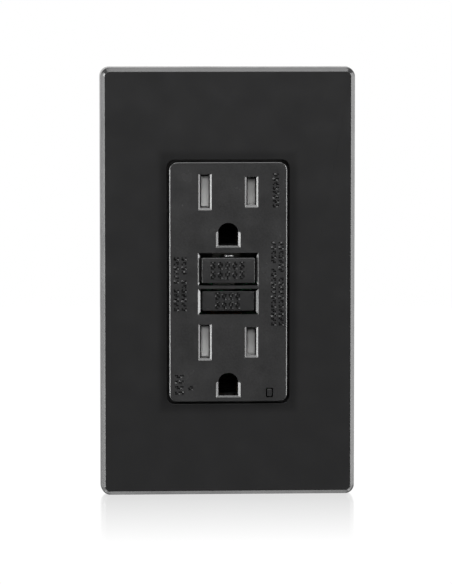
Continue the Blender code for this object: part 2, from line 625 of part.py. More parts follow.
def clamps():
    """Terminal screw and clamp plate of each of the four wire terminals."""
    head_r, head_t = 3.9, 2.4
    for row, z in (("line", LINE_TERMINAL_Z), ("load", LOAD_TERMINAL_Z)):
        for label, side, mat in (("hot", 1, BRASS), ("neutral", -1, NICKEL)):
            face = side * (BUS_X + SHEET + GAP)
            axis = pivot(f"{row}_{label}_clamp_axis", (face, TERMINAL_Y, z))
            x0, x1 = sorted((0, side * CLAMP_T))
            half = CLAMP_SIZE / 2
            plate = place(f"{row}_{label}_clamp_plate", block(x0, x1, -half, half, -half, half), mat,
                          parent=axis, smooth=False)
            hole = terminal_hole(0, z, 2.15)
            bmesh.ops.translate(hole, verts=hole.verts, vec=Vector((0, -TERMINAL_Y, -z)) * MM)
            cut(plate, hole)
            for tool in [m.object for m in plate.modifiers]:
                tool.parent = axis
            screw = place(f"{row}_{label}_screw", slotted_screw(head_r, head_t, 1.8, 5.4), mat,
                          at=(side * (CLAMP_T + GAP), 0, 0), turn=(0, 0, 90 * side), parent=axis)
            cut(screw, driver_slot(head_r, head_t, width=1.0, depth=0.9))
            for tool in [m.object for m in screw.modifiers]:
                tool.parent = axis


# ---------------------------------------------------------------- trip mechanism and board


def latch():
    block_z0, block_z1 = RESET_Z - 4.2, RESET_Z + 4.2
    slider = place("latch_block", block(-5.0, 5.0, LATCH_FRONT, LATCH_BACK, block_z0, block_z1),
                   BOBBIN_PLASTIC, smooth=False)
    add(slider, block(-13.0, 13.0, LATCH_FRONT, LATCH_FRONT + 1.6, RESET_Z - 2, RESET_Z + 2))
    slot_front = LATCH_PLATE_Y - GAP
    slot_back = LATCH_PLATE_Y + 0.8 + GAP
    cut(slider, block(-3.3, 3.3, slot_front, slot_back, block_z0 - 1, block_z1 + 1))
    cut(slider, prism(disc(1.4, 0, RESET_Z, 12), LATCH_FRONT - 1, slot_front + 0.2))
    cut(slider, prism(disc(2.0, 0, RESET_Z, 12), slot_back - 0.2, LATCH_BACK + 1))
    plate = place("latch_plate", block(-3.0, 3.0, LATCH_PLATE_Y, LATCH_PLATE_Y + 0.8, -4.0, 9.5),
                  ZINC, smooth=False)
    keyhole = block(-1.25, 1.25, LATCH_PLATE_Y - 1, LATCH_PLATE_Y + 2, 0.7, 4.9)
    cut(plate, keyhole)
    pin = turned([(1.0, -1.6), (1.0, 18.9), (1.5, 18.9), (1.5, 19.4), (0.5, 20.4)], 12)
    place("reset_pin", pin, ZINC, at=(0, 0, RESET_Z))


def solenoid():
    """Bobbin, winding and plunger on a vertical axis below the latch plate."""
    half, flange_t, flange_r, tube_r, bore_r = SOLENOID_L / 2, 1.0, 5.6, 3.2, 2.5
    centre = (0, SOLENOID_Y, SOLENOID_Z)
    bobbin = place("solenoid_bobbin", turned([
        (flange_r, -half), (flange_r, -half + flange_t), (tube_r, -half + flange_t),
        (tube_r, half - flange_t), (flange_r, half - flange_t), (flange_r, half)], 20),
        BOBBIN_PLASTIC, at=centre, turn=(90, 0, 0))
    cut(bobbin, turned([(bore_r, -half - 1), (bore_r, half + 1)], 16))
    wound = half - flange_t - GAP
    winding = place("solenoid_winding", turned([(5.2, -wound), (5.2, wound)], 20), COPPER,
                    at=centre, turn=(90, 0, 0))
    cut(winding, turned([(tube_r + GAP, -wound - 1), (tube_r + GAP, wound + 1)], 20))
    top, bottom = -4.5 - SOLENOID_Z, -22.0 - SOLENOID_Z
    place("solenoid_plunger", turned([(1.6, -top), (2.2, -top + 0.6), (2.2, -bottom)], 14), ZINC,
          at=centre, turn=(90, 0, 0))


def toroid():
    """Current-sensing ring in its cup."""
    front, back = 14.2, BOARD_FRONT - GAP
    cup = place("transformer_case", prism(disc(7.4, 0, TOROID_Z, 20), front, back), BOBBIN_PLASTIC)
    cut(cup, prism(disc(6.6, 0, TOROID_Z, 20), front + 0.8, back + 1))
    add(cup, prism(disc(2.9, 0, TOROID_Z, 14), front + 0.4, back - 0.4))
    cut(cup, prism(disc(2.2, 0, TOROID_Z, 14), front - 1, back + 1))
    ring = place("sensing_coil", turned([(5.8, 0), (6.2, 0.5), (6.2, 5.3), (5.8, 5.8)], 20), FERRITE,
                 at=(0, front + 1.1, TOROID_Z))
    cut(ring, turned([(3.3, -1), (3.3, 7)], 14))


def circuit_board():
    board = place("circuit_board", block(-BOARD_W / 2, BOARD_W / 2, BOARD_FRONT, BOARD_FRONT + BOARD_T,
                                         -BOARD_H / 2, BOARD_H / 2), BOARD_GREEN, smooth=False)
    cut(board, prism(disc(2.0, 0, TOROID_Z, 12), BOARD_FRONT - 1, BOARD_FRONT + 3))
    face = BOARD_FRONT - GAP
    varistor = turned([(3.9, -1.8), (4.6, -1.2), (4.6, 1.2), (3.9, 1.8)], 20)
    place("varistor", varistor, CERAMIC_BLUE, at=(-9.5, face - 4.7, -26.0), turn=(0, 0, 90))
    place("filter_capacitor", prism(outline(5.2, 7.0, 1.2, 9.2, -23.9, 3), 15.0, face), CAPACITOR_RED)
    place("thyristor", prism(half_disc(2.4, -8.5, -2.5), 17.5, face), CHIP_BLACK)
    chip_edge = 0.3
    chip = loft([
        (rectangle(6.0 + chip_edge, 10.9 - chip_edge, -1.5 + chip_edge, 4.5 - chip_edge), face - 1.6),
        (rectangle(6.0, 10.9, -1.5, 4.5), face - 0.8),
        (rectangle(6.0 + chip_edge, 10.9 - chip_edge, -1.5 + chip_edge, 4.5 - chip_edge), face),
    ])
    place("control_chip", chip, CHIP_BLACK, smooth=False)


def half_disc(radius, x, z, steps=8):
    """Round outline with one side cut flat."""
    start, sweep = math.radians(-60), math.radians(300)
    turn = [start + sweep * i / steps + math.radians(90) for i in range(steps + 1)]
    return [(x + radius * math.cos(a), z + radius * math.sin(a)) for a in turn]


# ---------------------------------------------------------------- rear housing


def rear_housing():
    """Deep cup with corner posts, terminal windows and wire holes."""
    cup = place("rear_housing", prism(outline(BODY_W, BODY_H, BODY_CORNER), HOUSING_FRONT, HOUSING_BACK),
                HOUSING_PLASTIC)
    room = outline(BODY_W - 2 * BODY_WALL, BODY_H - 3.8, 1.0, steps=2)
    inner_back = HOUSING_BACK - HOUSING_SKIN
    cut(cup, prism(room, HOUSING_FRONT - 1, inner_back))
    corners = [(sx * POST_X, sz * POST_Z) for sx in (-1, 1) for sz in (-1, 1)]
    for x, z in corners:
        add(cup, prism(disc(POST_R, x, z, 12), HOUSING_FRONT, inner_back + 0.5))
    for x, z in corners:
        cut(cup, prism(disc(POST_HOLE_R, x, z, 10), HOUSING_FRONT - 1, HOUSING_BACK + 1))
        cut(cup, prism(disc(2.6, x, z, 12), HOUSING_BACK - 1.5, HOUSING_BACK + 1))
    for side in (-1, 1):
        for z in (LOAD_TERMINAL_Z, LINE_TERMINAL_Z):
            x0, x1 = sorted((side * 18.0, side * 22.0))
            cut(cup, block(x0, x1, TERMINAL_Y - TERMINAL_HALF, TERMINAL_Y + TERMINAL_HALF,
                           z - TERMINAL_HALF, z + TERMINAL_HALF))
            for dz in (-3.3, 3.3):
                cut(cup, prism(disc(1.7, side * 17.4, z + dz, 10), inner_back - 1, HOUSING_BACK + 1))
    head_r, head_t = 2.3, 1.1
    for number, (x, z) in enumerate(corners, 1):
        seat = HOUSING_BACK - 1.5 + GAP
        screw = place(f"housing_screw_{number}",
                      slotted_screw(head_r, head_t, 1.2, seat + 2.0, steps=12), ZINC,
                      at=(x, seat, z), turn=(180, 0, 0))
        cut(screw, driver_slot(head_r, head_t, width=0.7, depth=0.5))


cover_plate()
mounting_frame()
frame_screws()
face_cover()
buttons()
indicator()
shutters()
mounting_strap()
ground_contacts()
box_screws()
contact_carrier()
load_contacts()
contact_arms()
line_terminals()
clamps()
latch()
solenoid()
toroid()
circuit_board()
rear_housing()
bpy.context.view_layer.update()
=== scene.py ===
"""Looks of the duplex ground-fault outlet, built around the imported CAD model.

Lengths in the constants are in millimetres, in the frame of the CAD: +X right, +Y into the wall,
+Z up, origin on the wall plane at the centre of the outlet.
"""

import json
import math

import bmesh
import bpy
from mathutils import Matrix, Vector

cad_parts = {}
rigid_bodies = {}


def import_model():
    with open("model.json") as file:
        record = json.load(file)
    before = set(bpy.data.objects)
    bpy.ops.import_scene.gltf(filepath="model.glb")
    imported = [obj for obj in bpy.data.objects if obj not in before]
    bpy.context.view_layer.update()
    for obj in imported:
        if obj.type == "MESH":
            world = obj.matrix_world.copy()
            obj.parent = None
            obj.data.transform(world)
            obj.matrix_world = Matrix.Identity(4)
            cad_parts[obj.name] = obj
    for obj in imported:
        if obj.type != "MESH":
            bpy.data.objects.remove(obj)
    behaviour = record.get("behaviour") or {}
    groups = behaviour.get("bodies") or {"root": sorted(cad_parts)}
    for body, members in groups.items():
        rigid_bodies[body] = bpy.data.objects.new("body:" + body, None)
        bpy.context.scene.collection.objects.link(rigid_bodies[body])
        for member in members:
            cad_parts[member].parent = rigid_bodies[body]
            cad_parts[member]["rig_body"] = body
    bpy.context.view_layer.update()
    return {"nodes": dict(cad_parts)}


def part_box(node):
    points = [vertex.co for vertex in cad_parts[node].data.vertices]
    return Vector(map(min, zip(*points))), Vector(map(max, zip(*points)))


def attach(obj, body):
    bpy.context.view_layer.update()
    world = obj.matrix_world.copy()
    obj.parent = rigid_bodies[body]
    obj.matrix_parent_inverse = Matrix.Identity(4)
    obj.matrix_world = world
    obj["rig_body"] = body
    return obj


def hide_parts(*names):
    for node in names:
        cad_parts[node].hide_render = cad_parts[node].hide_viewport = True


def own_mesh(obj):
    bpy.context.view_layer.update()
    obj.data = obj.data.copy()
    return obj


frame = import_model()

NODE_SLOTS = {name: node.data.materials[0].name.split(".")[0] for name, node in frame["nodes"].items()}
NODE_BODIES = {name: node["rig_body"] for name, node in frame["nodes"].items()}
TERMINALS = [(f"{row}_{label}", side) for row in ("line", "load")
             for label, side in (("hot", 1), ("neutral", -1))]
MM = 0.001
SHARP_ANGLE = 32.0
WHITE = (1, 1, 1, 1)

# Cover plate
PLATE_W, PLATE_H, PLATE_CORNER, FRONT_CORNER = 69.85, 117.5, 2.5, 1.45
PLATE_FRONT, PLATE_SHOULDER = -6.6, -5.45
PLATE_DRAFT, PLATE_INSET = 0.2, 1.3
PLATE_WALL, PLATE_SKIN, CAVITY_CORNER = 1.8, 2.2, 1.5
WINDOW_W, WINDOW_H, WINDOW_CORNER = 33.6, 66.95, 2.2
WINDOW_FILLET = 0.1
LUG_Z, LUG_HALF, RIB_Z, RIB_HALF = 32.0, 4.0, 50.0, 5.0
FRAME_W = 62.0

# Face of the outlet
FACE_W, FACE_H, FACE_CORNER = 32.1, 65.5, 2.1
FACE_CHAMFER_W, FACE_CHAMFER_H, FACE_CHAMFER_T = 0.2, 0.155, 0.158
FACE_FRONT, FACE_SKIN = -7.4, 2.2
BODY_W, BODY_H, BODY_CORNER, BODY_WALL = 42.5, 68.0, 2.2, 1.6
SHOULDER_FRONT, STRAP_BACKING = -2.9, -1.6
SLOT_X, SLOT_W = 6.35, 2.7
SLOT_BEVEL_W, SLOT_BEVEL_T = 0.46, 0.378
NEUTRAL_SLOT_H, HOT_SLOT_H = 8.7, 7.2
OUTLETS = {"upper": 24.5, "lower": -16.65}
BOTTOM_BEVEL, BOTTOM_LIFT, TOP_BEVEL, TOP_LIFT = 1.35, 0.17, 0.5, 0.55
GROUND_DROP, GROUND_R, GROUND_STRAIGHT = 11.0, 2.73, 3.48
GROUND_BEVEL_W, GROUND_BEVEL_T = 0.62, 0.5
GROUND_BOTTOM_BEVEL, GROUND_ARCH_BEVEL = 0.82, 0.08
GROUND_FLARE, FLARE_DEPTH, GROUND_THROAT, SLEEVE_SCALE, WELL_SCALE = 1.22, 2.8, 0.93, 1.42, 1.28
POST_X, POST_Z, POST_R, POST_HOLE_R = 17.3, 29.8, 2.4, 1.5

# Keys
OPENING_HALF_W, OPENING_SLOPE, OPENING_MITRE, OPENING_END = 8.3, 0.727, 0.7, 0.1
RESET_Z, RESET_W, RESET_H, RESET_FRONT = 3.22, 14.4, 6.85, -7.7
RESET_OPENING, RESET_BEVEL = (-0.9, 8.0), 0.5
TEST_Z, TEST_W, TEST_H, TEST_FRONT = -5.2, 14.1, 5.35, -6.9
TEST_OPENING, TEST_BEVEL = (-8.85, -1.85), 0.65
KEY_BACK, KEY_EDGE, KEY_CORNER = -3.7, 0.13, 0.25
INDICATOR_X, INDICATOR_Z, INDICATOR_W, INDICATOR_H = 11.3, -30.38, 1.35, 2.05
INDICATOR_CORNER, INDICATOR_GAP = 0.3, 0.3

# Fields of moulded print: centre x and z, width, height, number of letters, which of them is left
# blank, and whether they run upwards
FACE_PRINT = (
    (12.4, -0.5, 1.4, 23.0, 19, 13, True),
    (14.45, -0.5, 1.4, 23.0, 19, 11, True),
    (-14.2, -0.5, 1.4, 14.8, 12, 5, True),
    (-12.1, -0.5, 1.4, 14.8, 12, 7, True),
    (13.0, 25.1, 1.7, 9.4, 8, None, True),
    (-13.4, -28.0, 2.4, 5.8, 4, None, True),
    (-10.3, -28.9, 1.2, 1.5, 1, None, True),
)
RESET_PRINT = ((0.0, 1.9, 9.6, 2.2, 5, None, False), (0.0, 4.5, 9.6, 2.2, 5, None, False))
TEST_PRINT = ((0.0, -6.4, 7.0, 2.1, 4, None, False), (0.0, -3.9, 7.0, 2.1, 4, None, False))
CELL, LETTER_GAP = 0.46, 0.28
MARK_KINDS, PIT_KINDS, STUD_KINDS = 11, 6, 2
PIT_DEPTH, PRINT_BACKING = 0.5, 0.9
FACE_RELIEF, RESET_RELIEF, TEST_RELIEF = 0.2, 0.12, 0.2

# Shutters
SHUTTER_FRONT, SHUTTER_BACK = -4.9, -3.4
SHUTTER_LEFT, SHUTTER_RIGHT, SHUTTER_HALF = -12.0, 8.4, 4.9
SHUTTER_TRAVEL, SHUTTER_HOLE_W, SHUTTER_HOLE_HALF_H = 3.0, 3.2, 4.1
PAD_GAPS = ((-1.7, -0.97), (1.15, 1.7))

# Rear housing
HOUSING_FRONT, HOUSING_BACK, HOUSING_SKIN = 0.3, 27.5, 2.6
STRAP_FRONT = -1.3
TERMINAL_Y, LOAD_Z, LINE_Z = 15.2, 14.1, -16.5
WIRE_HOLE_X, WIRE_HOLE_Z, WIRE_HOLE_R = 17.4, 3.3, 1.7

# Camera, fitted to the plate's outline and to the slots
CAMERA_AZIMUTH, CAMERA_ELEVATION, CAMERA_DISTANCE = -3.0, 4.5, 1.023
CAMERA_LENS, CAMERA_AIM = 229.2, (-0.24, 0.0, -3.28)
FLOOR_Z = -PLATE_H / 2


# ---------------------------------------------------------------- outlines and solids


def outline(width, height, radius, x=0.0, z=0.0, steps=6):
    """Rounded rectangle in the XZ plane, anticlockwise seen from the front."""
    points = []
    for sx, sz, start in ((1, -1, -90), (1, 1, 0), (-1, 1, 90), (-1, -1, 180)):
        cx = x + sx * (width / 2 - radius)
        cz = z + sz * (height / 2 - radius)
        for i in range(steps + 1):
            a = math.radians(start + 90 * i / steps)
            points.append((cx + radius * math.cos(a), cz + radius * math.sin(a)))
    return points


def rectangle(x0, x1, z0, z1):
    return [(x0, z0), (x1, z0), (x1, z1), (x0, z1)]


def square(x, z, half):
    return rectangle(x - half, x + half, z - half, z + half)


def disc(radius, x=0.0, z=0.0, steps=32):
    turn = [2 * math.pi * i / steps for i in range(steps)]
    return [(x + radius * math.cos(a), z + radius * math.sin(a)) for a in turn]


def ground_outline(z, grow=0.0, steps=24):
    """D shape: an arch on top of a straight-sided part with a flat bottom.

    Where it grows, it grows least at the top of the arch.
    """
    bottom = z - GROUND_STRAIGHT - grow * GROUND_BOTTOM_BEVEL
    points = [(GROUND_R + grow, bottom)]
    for i in range(steps + 1):
        a = math.pi * i / steps
        r = GROUND_R + grow * (GROUND_ARCH_BEVEL + (1 - GROUND_ARCH_BEVEL) * (1 - math.sin(a)) ** 4)
        points.append((r * math.cos(a), z + r * math.sin(a)))
    return points + [(-GROUND_R - grow, bottom)]


def skin(rings, closed=False):
    """Body through rings of 3-D points in millimetres: capped at both ends, or closed on itself."""
    bm = bmesh.new()
    rows = [[bm.verts.new(Vector(p) * MM) for p in ring] for ring in rings]
    pairs = list(zip(rows, rows[1:]))
    if closed:
        pairs.append((rows[-1], rows[0]))
    for near, far in pairs:
        for i in range(len(near)):
            j = (i + 1) % len(near)
            bm.faces.new((near[i], far[i], far[j], near[j]))
    if not closed:
        bm.faces.new(rows[0])
        bm.faces.new(list(reversed(rows[-1])))
    bmesh.ops.recalc_face_normals(bm, faces=bm.faces)
    return bm


def loft(sections, closed=False):
    """Body through (outline, y) sections, which run from front to back."""
    return skin([[(x, y, z) for x, z in points] for points, y in sections], closed)


def prism(points, front, back):
    return loft([(points, front), (points, back)])


def block(x0, x1, y0, y1, z0, z1):
    return prism(rectangle(x0, x1, z0, z1), y0, y1)


def beside(side, near, far, *rest):
    """Box between near and far from the middle, at the left (side -1) or the right (side 1)."""
    x0, x1 = sorted((side * near, side * far))
    return (x0, x1, *rest)


def four(x, z):
    """Four points, one in each quarter."""
    return [(sx * x, sz * z) for sx in (-1, 1) for sz in (-1, 1)]


def merged(parts):
    """Several separate bodies as one mesh."""
    bm = bmesh.new()
    for part in parts:
        mesh = bpy.data.meshes.new("part")
        part.to_mesh(mesh)
        part.free()
        bm.from_mesh(mesh)
        bpy.data.meshes.remove(mesh)
    return bm


def blocks(boxes):
    return merged([block(*box) for box in boxes])


def coil(radius, wire, length, turns, per_turn=24, sides=8, closed_ends=0.75):
    """Helical spring along Y from y = 0, whose first and last turns lie flat."""
    rings = []
    count = int(turns * per_turn)
    for i in range(count + 1):
        t = i / count
        a = 2 * math.pi * turns * t
        rise = min(max((t * turns - closed_ends) / (turns - 2 * closed_ends), 0.0), 1.0)
        flat = min(t * turns, closed_ends) + max(t * turns - turns + closed_ends, 0.0)
        lift = wire + rise * (length - 2 * wire - 4 * wire * closed_ends) + 2 * wire * flat
        out = Vector((math.cos(a), 0, math.sin(a)))
        centre = radius * out + Vector((0, lift, 0))
        turn = [2 * math.pi * k / sides for k in range(sides)]
        rings.append([centre + wire * (out * math.cos(b) + Vector((0, math.sin(b), 0))) for b in turn])
    return skin(rings)


def screw_body(head, shank_r, length, pitch, steps=24):
    """Screw along +Y whose head starts at y = 0. head is its (radius, y) profile."""
    circle = disc(1.0, steps=steps)
    rings = [[(r * x, y, r * z) for x, z in circle] for r, y in head]
    start = head[-1][1]
    depth, sharpness, rings_a_turn = pitch * 0.42, 3.2, 8
    count = int((length - start) / pitch * rings_a_turn)
    for i in range(count + 1):
        y = start + (length - start) * i / count
        fade = min(1.0, (length - y) / (1.5 * pitch), (y - start) / pitch + 0.05)
        ring = []
        for k, (x, z) in enumerate(circle):
            phase = (y / pitch - k / steps) % 1.0
            ridge = max(0.0, 1.0 - abs(phase - 0.5) * sharpness)
            r = shank_r - depth + depth * ridge * max(fade, 0.0)
            ring.append((r * x, y, r * z))
        rings.append(ring)
    tip = 0.6 * (shank_r - depth)
    rings.append([(tip * x, length + 0.3, tip * z) for x, z in circle])
    return skin(rings)


# ---------------------------------------------------------------- finished pieces


def added(name, data):
    obj = bpy.data.objects.new(name, data)
    bpy.context.scene.collection.objects.link(obj)
    return obj


def discard(obj):
    mesh = obj.data
    bpy.data.objects.remove(obj)
    bpy.data.meshes.remove(mesh)


def mesh_object(name, bm):
    mesh = bpy.data.meshes.new(name)
    bm.to_mesh(mesh)
    bm.free()
    return added(name, mesh)


def settle(obj, name):
    """Replace obj's mesh by what its modifiers make of it."""
    bpy.context.view_layer.update()
    evaluated = obj.evaluated_get(bpy.context.evaluated_depsgraph_get())
    mesh = bpy.data.meshes.new_from_object(evaluated)
    old = obj.data
    obj.modifiers.clear()
    obj.data = mesh
    mesh.name = name
    bpy.data.meshes.remove(old)


def shape(name, base, joins=(), cuts=(), bevel=0.0, limit=30.0, matrix=None):
    """Object from a base mesh with Booleans, then softened edges."""
    obj = mesh_object(name, base)
    tools = []
    for operation, parts in (("UNION", joins), ("DIFFERENCE", cuts)):
        for part in parts:
            tool = mesh_object(f"{name}_tool", part)
            modifier = obj.modifiers.new("boolean", "BOOLEAN")
            modifier.operation = operation
            modifier.solver = "EXACT"
            modifier.object = tool
            tools.append(tool)
    if tools:
        settle(obj, name)
    for tool in tools:
        discard(tool)
    if matrix is not None:
        obj.data.transform(matrix)
    obj.data.shade_smooth()
    if bevel:
        soften(obj, bevel, limit)
    else:
        obj.data.set_sharp_from_angle(angle=math.radians(SHARP_ANGLE))
    flatten(obj, keep_sharp=not bevel)
    return obj


def welded(mesh):
    """Copy of a mesh with its points welded and its flat faces merged."""
    bm = bmesh.new()
    bm.from_mesh(mesh)
    bmesh.ops.remove_doubles(bm, verts=bm.verts, dist=1e-6)
    bmesh.ops.dissolve_limit(bm, angle_limit=math.radians(0.5), verts=bm.verts, edges=bm.edges)
    return bm


def soften(obj, width, limit):
    """Round the edges sharper than limit degrees."""
    bm = welded(obj.data)
    bm.to_mesh(obj.data)
    bm.free()
    modifier = obj.modifiers.new("edge", "BEVEL")
    modifier.width = width * MM
    modifier.segments = 2
    modifier.limit_method = "ANGLE"
    modifier.angle_limit = math.radians(limit)
    modifier.miter_outer = "MITER_ARC"
    settle(obj, obj.name)


def flatten(obj, keep_sharp):
    """Let the large faces set the normals, so that they shade flat."""
    modifier = obj.modifiers.new("normals", "WEIGHTED_NORMAL")
    modifier.keep_sharp = keep_sharp
    modifier.weight = 100
    settle(obj, obj.name)


def taken(obj):
    """The mesh of an object as a new one to go on from, and the object removed."""
    bm = bmesh.new()
    bm.from_mesh(obj.data)
    discard(obj)
    return bm


def piece(obj, body, slot_name, *nodes):
    """Give a piece its material, its body and the CAD nodes it stands for."""
    obj.data.materials.clear()
    obj.data.materials.append(MATERIALS[slot_name])
    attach(obj, body)
    if nodes:
        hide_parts(*nodes)


def stands_for(obj, node):
    """Give obj the body, slot and material of the CAD node that it replaces."""
    piece(obj, NODE_BODIES[node], NODE_SLOTS[node], node)


def reach(node, way):
    """How far a CAD node goes along a direction, in metres."""
    low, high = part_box(node)
    return abs((high - low).dot(way))


def facing(node, inward):
    """Matrix that takes +Y to inward and the origin to the near side of a node's box."""
    low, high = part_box(node)
    start = (low + high) / 2 - inward * reach(node, inward) / 2
    return Matrix.Translation(start) @ inward.to_track_quat("Y", "Z").to_matrix().to_4x4()


# ---------------------------------------------------------------- materials

# Every material made here, by the name of the slot it fills
MATERIALS = {}


def add_node(tree, kind, inputs=None, **settings):
    """New shader node; an input is given a value, or a socket to link from."""
    made = tree.nodes.new(kind)
    for key, value in settings.items():
        setattr(made, key, value)
    for key, value in (inputs or {}).items():
        if isinstance(value, bpy.types.NodeSocket):
            tree.links.new(value, made.inputs[key])
        else:
            made.inputs[key].default_value = value
    return made


def noise(tree, place, scale, detail):
    made = add_node(tree, "ShaderNodeTexNoise", {"Vector": place, "Scale": scale, "Detail": detail})
    return made.outputs["Fac"]


def maths(tree, operation, a, b=0.0):
    return add_node(tree, "ShaderNodeMath", {0: a, 1: b}, operation=operation).outputs[0]


def remap(tree, value, from_min, from_max, to_min, to_max, kind="LINEAR"):
    """Take a range of values to another one, clamped at both ends."""
    ends = {"Value": value, "From Min": from_min, "From Max": from_max, "To Min": to_min, "To Max": to_max}
    return add_node(tree, "ShaderNodeMapRange", ends, interpolation_type=kind).outputs["Result"]


def object_place(tree):
    return add_node(tree, "ShaderNodeTexCoord").outputs["Object"]


def add_bump(tree, height, strength, depth):
    """Relief, depth mm deep, in place of any that the shader had."""
    relief = add_node(tree, "ShaderNodeBump", {"Height": height, "Strength": strength,
                                               "Distance": depth * MM})
    tree.links.new(relief.outputs["Normal"], tree.nodes["Principled BSDF"].inputs["Normal"])


def blank_material(name):
    made = bpy.data.materials.new(name)
    made.use_nodes = True
    MATERIALS[name] = made
    tree = made.node_tree
    return made, tree, tree.nodes["Principled BSDF"], object_place(tree)


def tint(tree, factor, colour, spread):
    """Colour that runs from darker to lighter than the given one by spread."""
    mix = add_node(tree, "ShaderNodeMix", data_type="RGBA")
    tree.links.new(factor, mix.inputs["Factor"])
    mix.inputs[6].default_value = (*[c * (1 - spread) for c in colour], 1.0)
    mix.inputs[7].default_value = (*[min(1.0, c * (1 + spread)) for c in colour], 1.0)
    return mix.outputs[2]


def uneven(tree, factor, low, high):
    """Value that follows the middle of a noise from low to high."""
    return remap(tree, factor, 0.3, 0.7, low, high)


def plastic(name, colour, roughness, grain=2600.0, mottle=0.12, bump=0.25, depth=0.02, coat=0.0):
    """Moulded plastic: fine spark-eroded grain, slight mottling and uneven gloss."""
    made, tree, shader, place = blank_material(name)
    fine = noise(tree, place, grain, 4.0)
    broad = noise(tree, place, 130.0, 3.0)
    both = add_node(tree, "ShaderNodeMix", {2: fine, 3: broad})
    tree.links.new(tint(tree, both.outputs[0], colour, mottle), shader.inputs["Base Color"])
    gloss = uneven(tree, broad, roughness - 0.04, roughness + 0.04)
    tree.links.new(gloss, shader.inputs["Roughness"])
    add_bump(tree, fine, bump, depth)
    shader.inputs["Coat Weight"].default_value = coat
    shader.inputs["Coat Roughness"].default_value = 0.12
    return made


def metal(name, colour, roughness, along=(1, 1, 1), tarnish=0.2):
    """Plated or rolled metal: brushed streaks across `along`, patchy tarnish, fine pits."""
    made, tree, shader, place = blank_material(name)
    stretch = add_node(tree, "ShaderNodeMapping", {"Vector": place, "Scale": along})
    streaks = noise(tree, stretch.outputs["Vector"], 2400.0, 3.0)
    patches = noise(tree, place, 220.0, 5.0)
    both = add_node(tree, "ShaderNodeMix", {2: streaks, 3: patches})
    tree.links.new(tint(tree, both.outputs[0], colour, tarnish), shader.inputs["Base Color"])
    gloss = uneven(tree, patches, roughness - 0.08, roughness + 0.1)
    tree.links.new(gloss, shader.inputs["Roughness"])
    add_bump(tree, streaks, 0.3, 0.01)
    shader.inputs["Metallic"].default_value = 1.0
    return made


def banded(made, axis_scale):
    """Add the ridges of wound wire, as waves across the given direction."""
    tree = made.node_tree
    across = add_node(tree, "ShaderNodeMapping", {"Vector": object_place(tree), "Scale": axis_scale})
    waves = add_node(tree, "ShaderNodeTexWave", {"Scale": 1.0, "Distortion": 0.6}, bands_direction="X")
    tree.links.new(across.outputs["Vector"], waves.inputs["Vector"])
    add_bump(tree, waves.outputs["Fac"], 0.8, 0.08)


def laminate(name, colour, track):
    """Circuit board: solder mask over a faint pattern of copper tracks and glass weave."""
    made, tree, shader, place = blank_material(name)
    cells = add_node(tree, "ShaderNodeTexBrick", {"Vector": place, "Scale": 260.0, "Mortar Size": 0.03})
    cells.inputs["Color1"].default_value = (*colour, 1.0)
    cells.inputs["Color2"].default_value = (*track, 1.0)
    cells.inputs["Mortar"].default_value = (*[c * 0.6 for c in colour], 1.0)
    tree.links.new(cells.outputs["Color"], shader.inputs["Base Color"])
    weave = add_node(tree, "ShaderNodeTexWave", {"Vector": place, "Scale": 700.0, "Distortion": 1.0})
    add_bump(tree, weave.outputs["Fac"], 0.3, 0.02)
    tree.links.new(uneven(tree, weave.outputs["Fac"], 0.3, 0.42), shader.inputs["Roughness"])


def painted_shade_by_window(made, low, high, darkest):
    """Paint shade on a plastic towards the outlet's window, where the proud face shades the plate: darker
    colour and weaker specular (painted shade), fully within low mm of it, not past high.
    """
    tree = made.node_tree
    shader = tree.nodes["Principled BSDF"]
    parts = add_node(tree, "ShaderNodeSeparateXYZ", {0: object_place(tree)})
    away = []
    for axis, half in (("X", WINDOW_W / 2), ("Z", WINDOW_H / 2)):
        away.append(maths(tree, "SUBTRACT", maths(tree, "ABSOLUTE", parts.outputs[axis]), half * MM))
    far = maths(tree, "MAXIMUM", *away)
    # painted shade: colour and specular level scaled down near the window
    keep = remap(tree, far, low * MM, high * MM, darkest, 1.0, kind="SMOOTHSTEP")
    colour = shader.inputs["Base Color"].links[0].from_socket
    dimmed = add_node(tree, "ShaderNodeVectorMath", {0: colour}, operation="SCALE")
    tree.links.new(keep, dimmed.inputs["Scale"])
    tree.links.new(dimmed.outputs["Vector"], shader.inputs["Base Color"])
    tree.links.new(maths(tree, "MULTIPLY", keep, 0.5), shader.inputs["Specular IOR Level"])


satin_black = plastic("satin_black_plastic", (0.0145, 0.0145, 0.0148), 0.2, grain=900.0, mottle=0.05,
                      bump=0.08, depth=0.01)
# painted shade: a dark halo on the cover plate around the window
painted_shade_by_window(satin_black, 0.8, 3.0, 0.76)
plastic("moulded_black_plastic", (0.0212, 0.0212, 0.0215), 0.24, grain=2200.0, mottle=0.7, bump=0.4,
        depth=0.03)
plastic("button_black_plastic", (0.019, 0.019, 0.0193), 0.26, mottle=0.4, bump=0.4, depth=0.03)
plastic("shutter_grey_plastic", (0.53, 0.53, 0.525), 0.45, grain=1800.0, mottle=0.08)
plastic("smoked_light_pipe", (0.019, 0.019, 0.0195), 0.24, grain=1200.0, mottle=0.3, bump=0.3)
plastic("frame_grey_plastic", (0.1, 0.1, 0.102), 0.5, grain=1500.0, mottle=0.15)
plastic("carrier_plastic", (0.02, 0.02, 0.021), 0.5, grain=1800.0, mottle=0.15)
plastic("housing_plastic", (0.075, 0.077, 0.08), 0.46, grain=1700.0, mottle=0.16)
plastic("bobbin_plastic", (0.16, 0.155, 0.14), 0.5, grain=1600.0, mottle=0.1)
plastic("fibre_washer", (0.3, 0.11, 0.05), 0.8, grain=700.0, mottle=0.35, bump=0.9, depth=0.06)
plastic("varistor_coating", (0.03, 0.1, 0.35), 0.35, grain=900.0, mottle=0.2, coat=0.3)
plastic("capacitor_coating", (0.4, 0.08, 0.03), 0.35, grain=900.0, mottle=0.2, coat=0.3)
plastic("chip_epoxy", (0.018, 0.018, 0.018), 0.5, grain=2200.0, mottle=0.2)
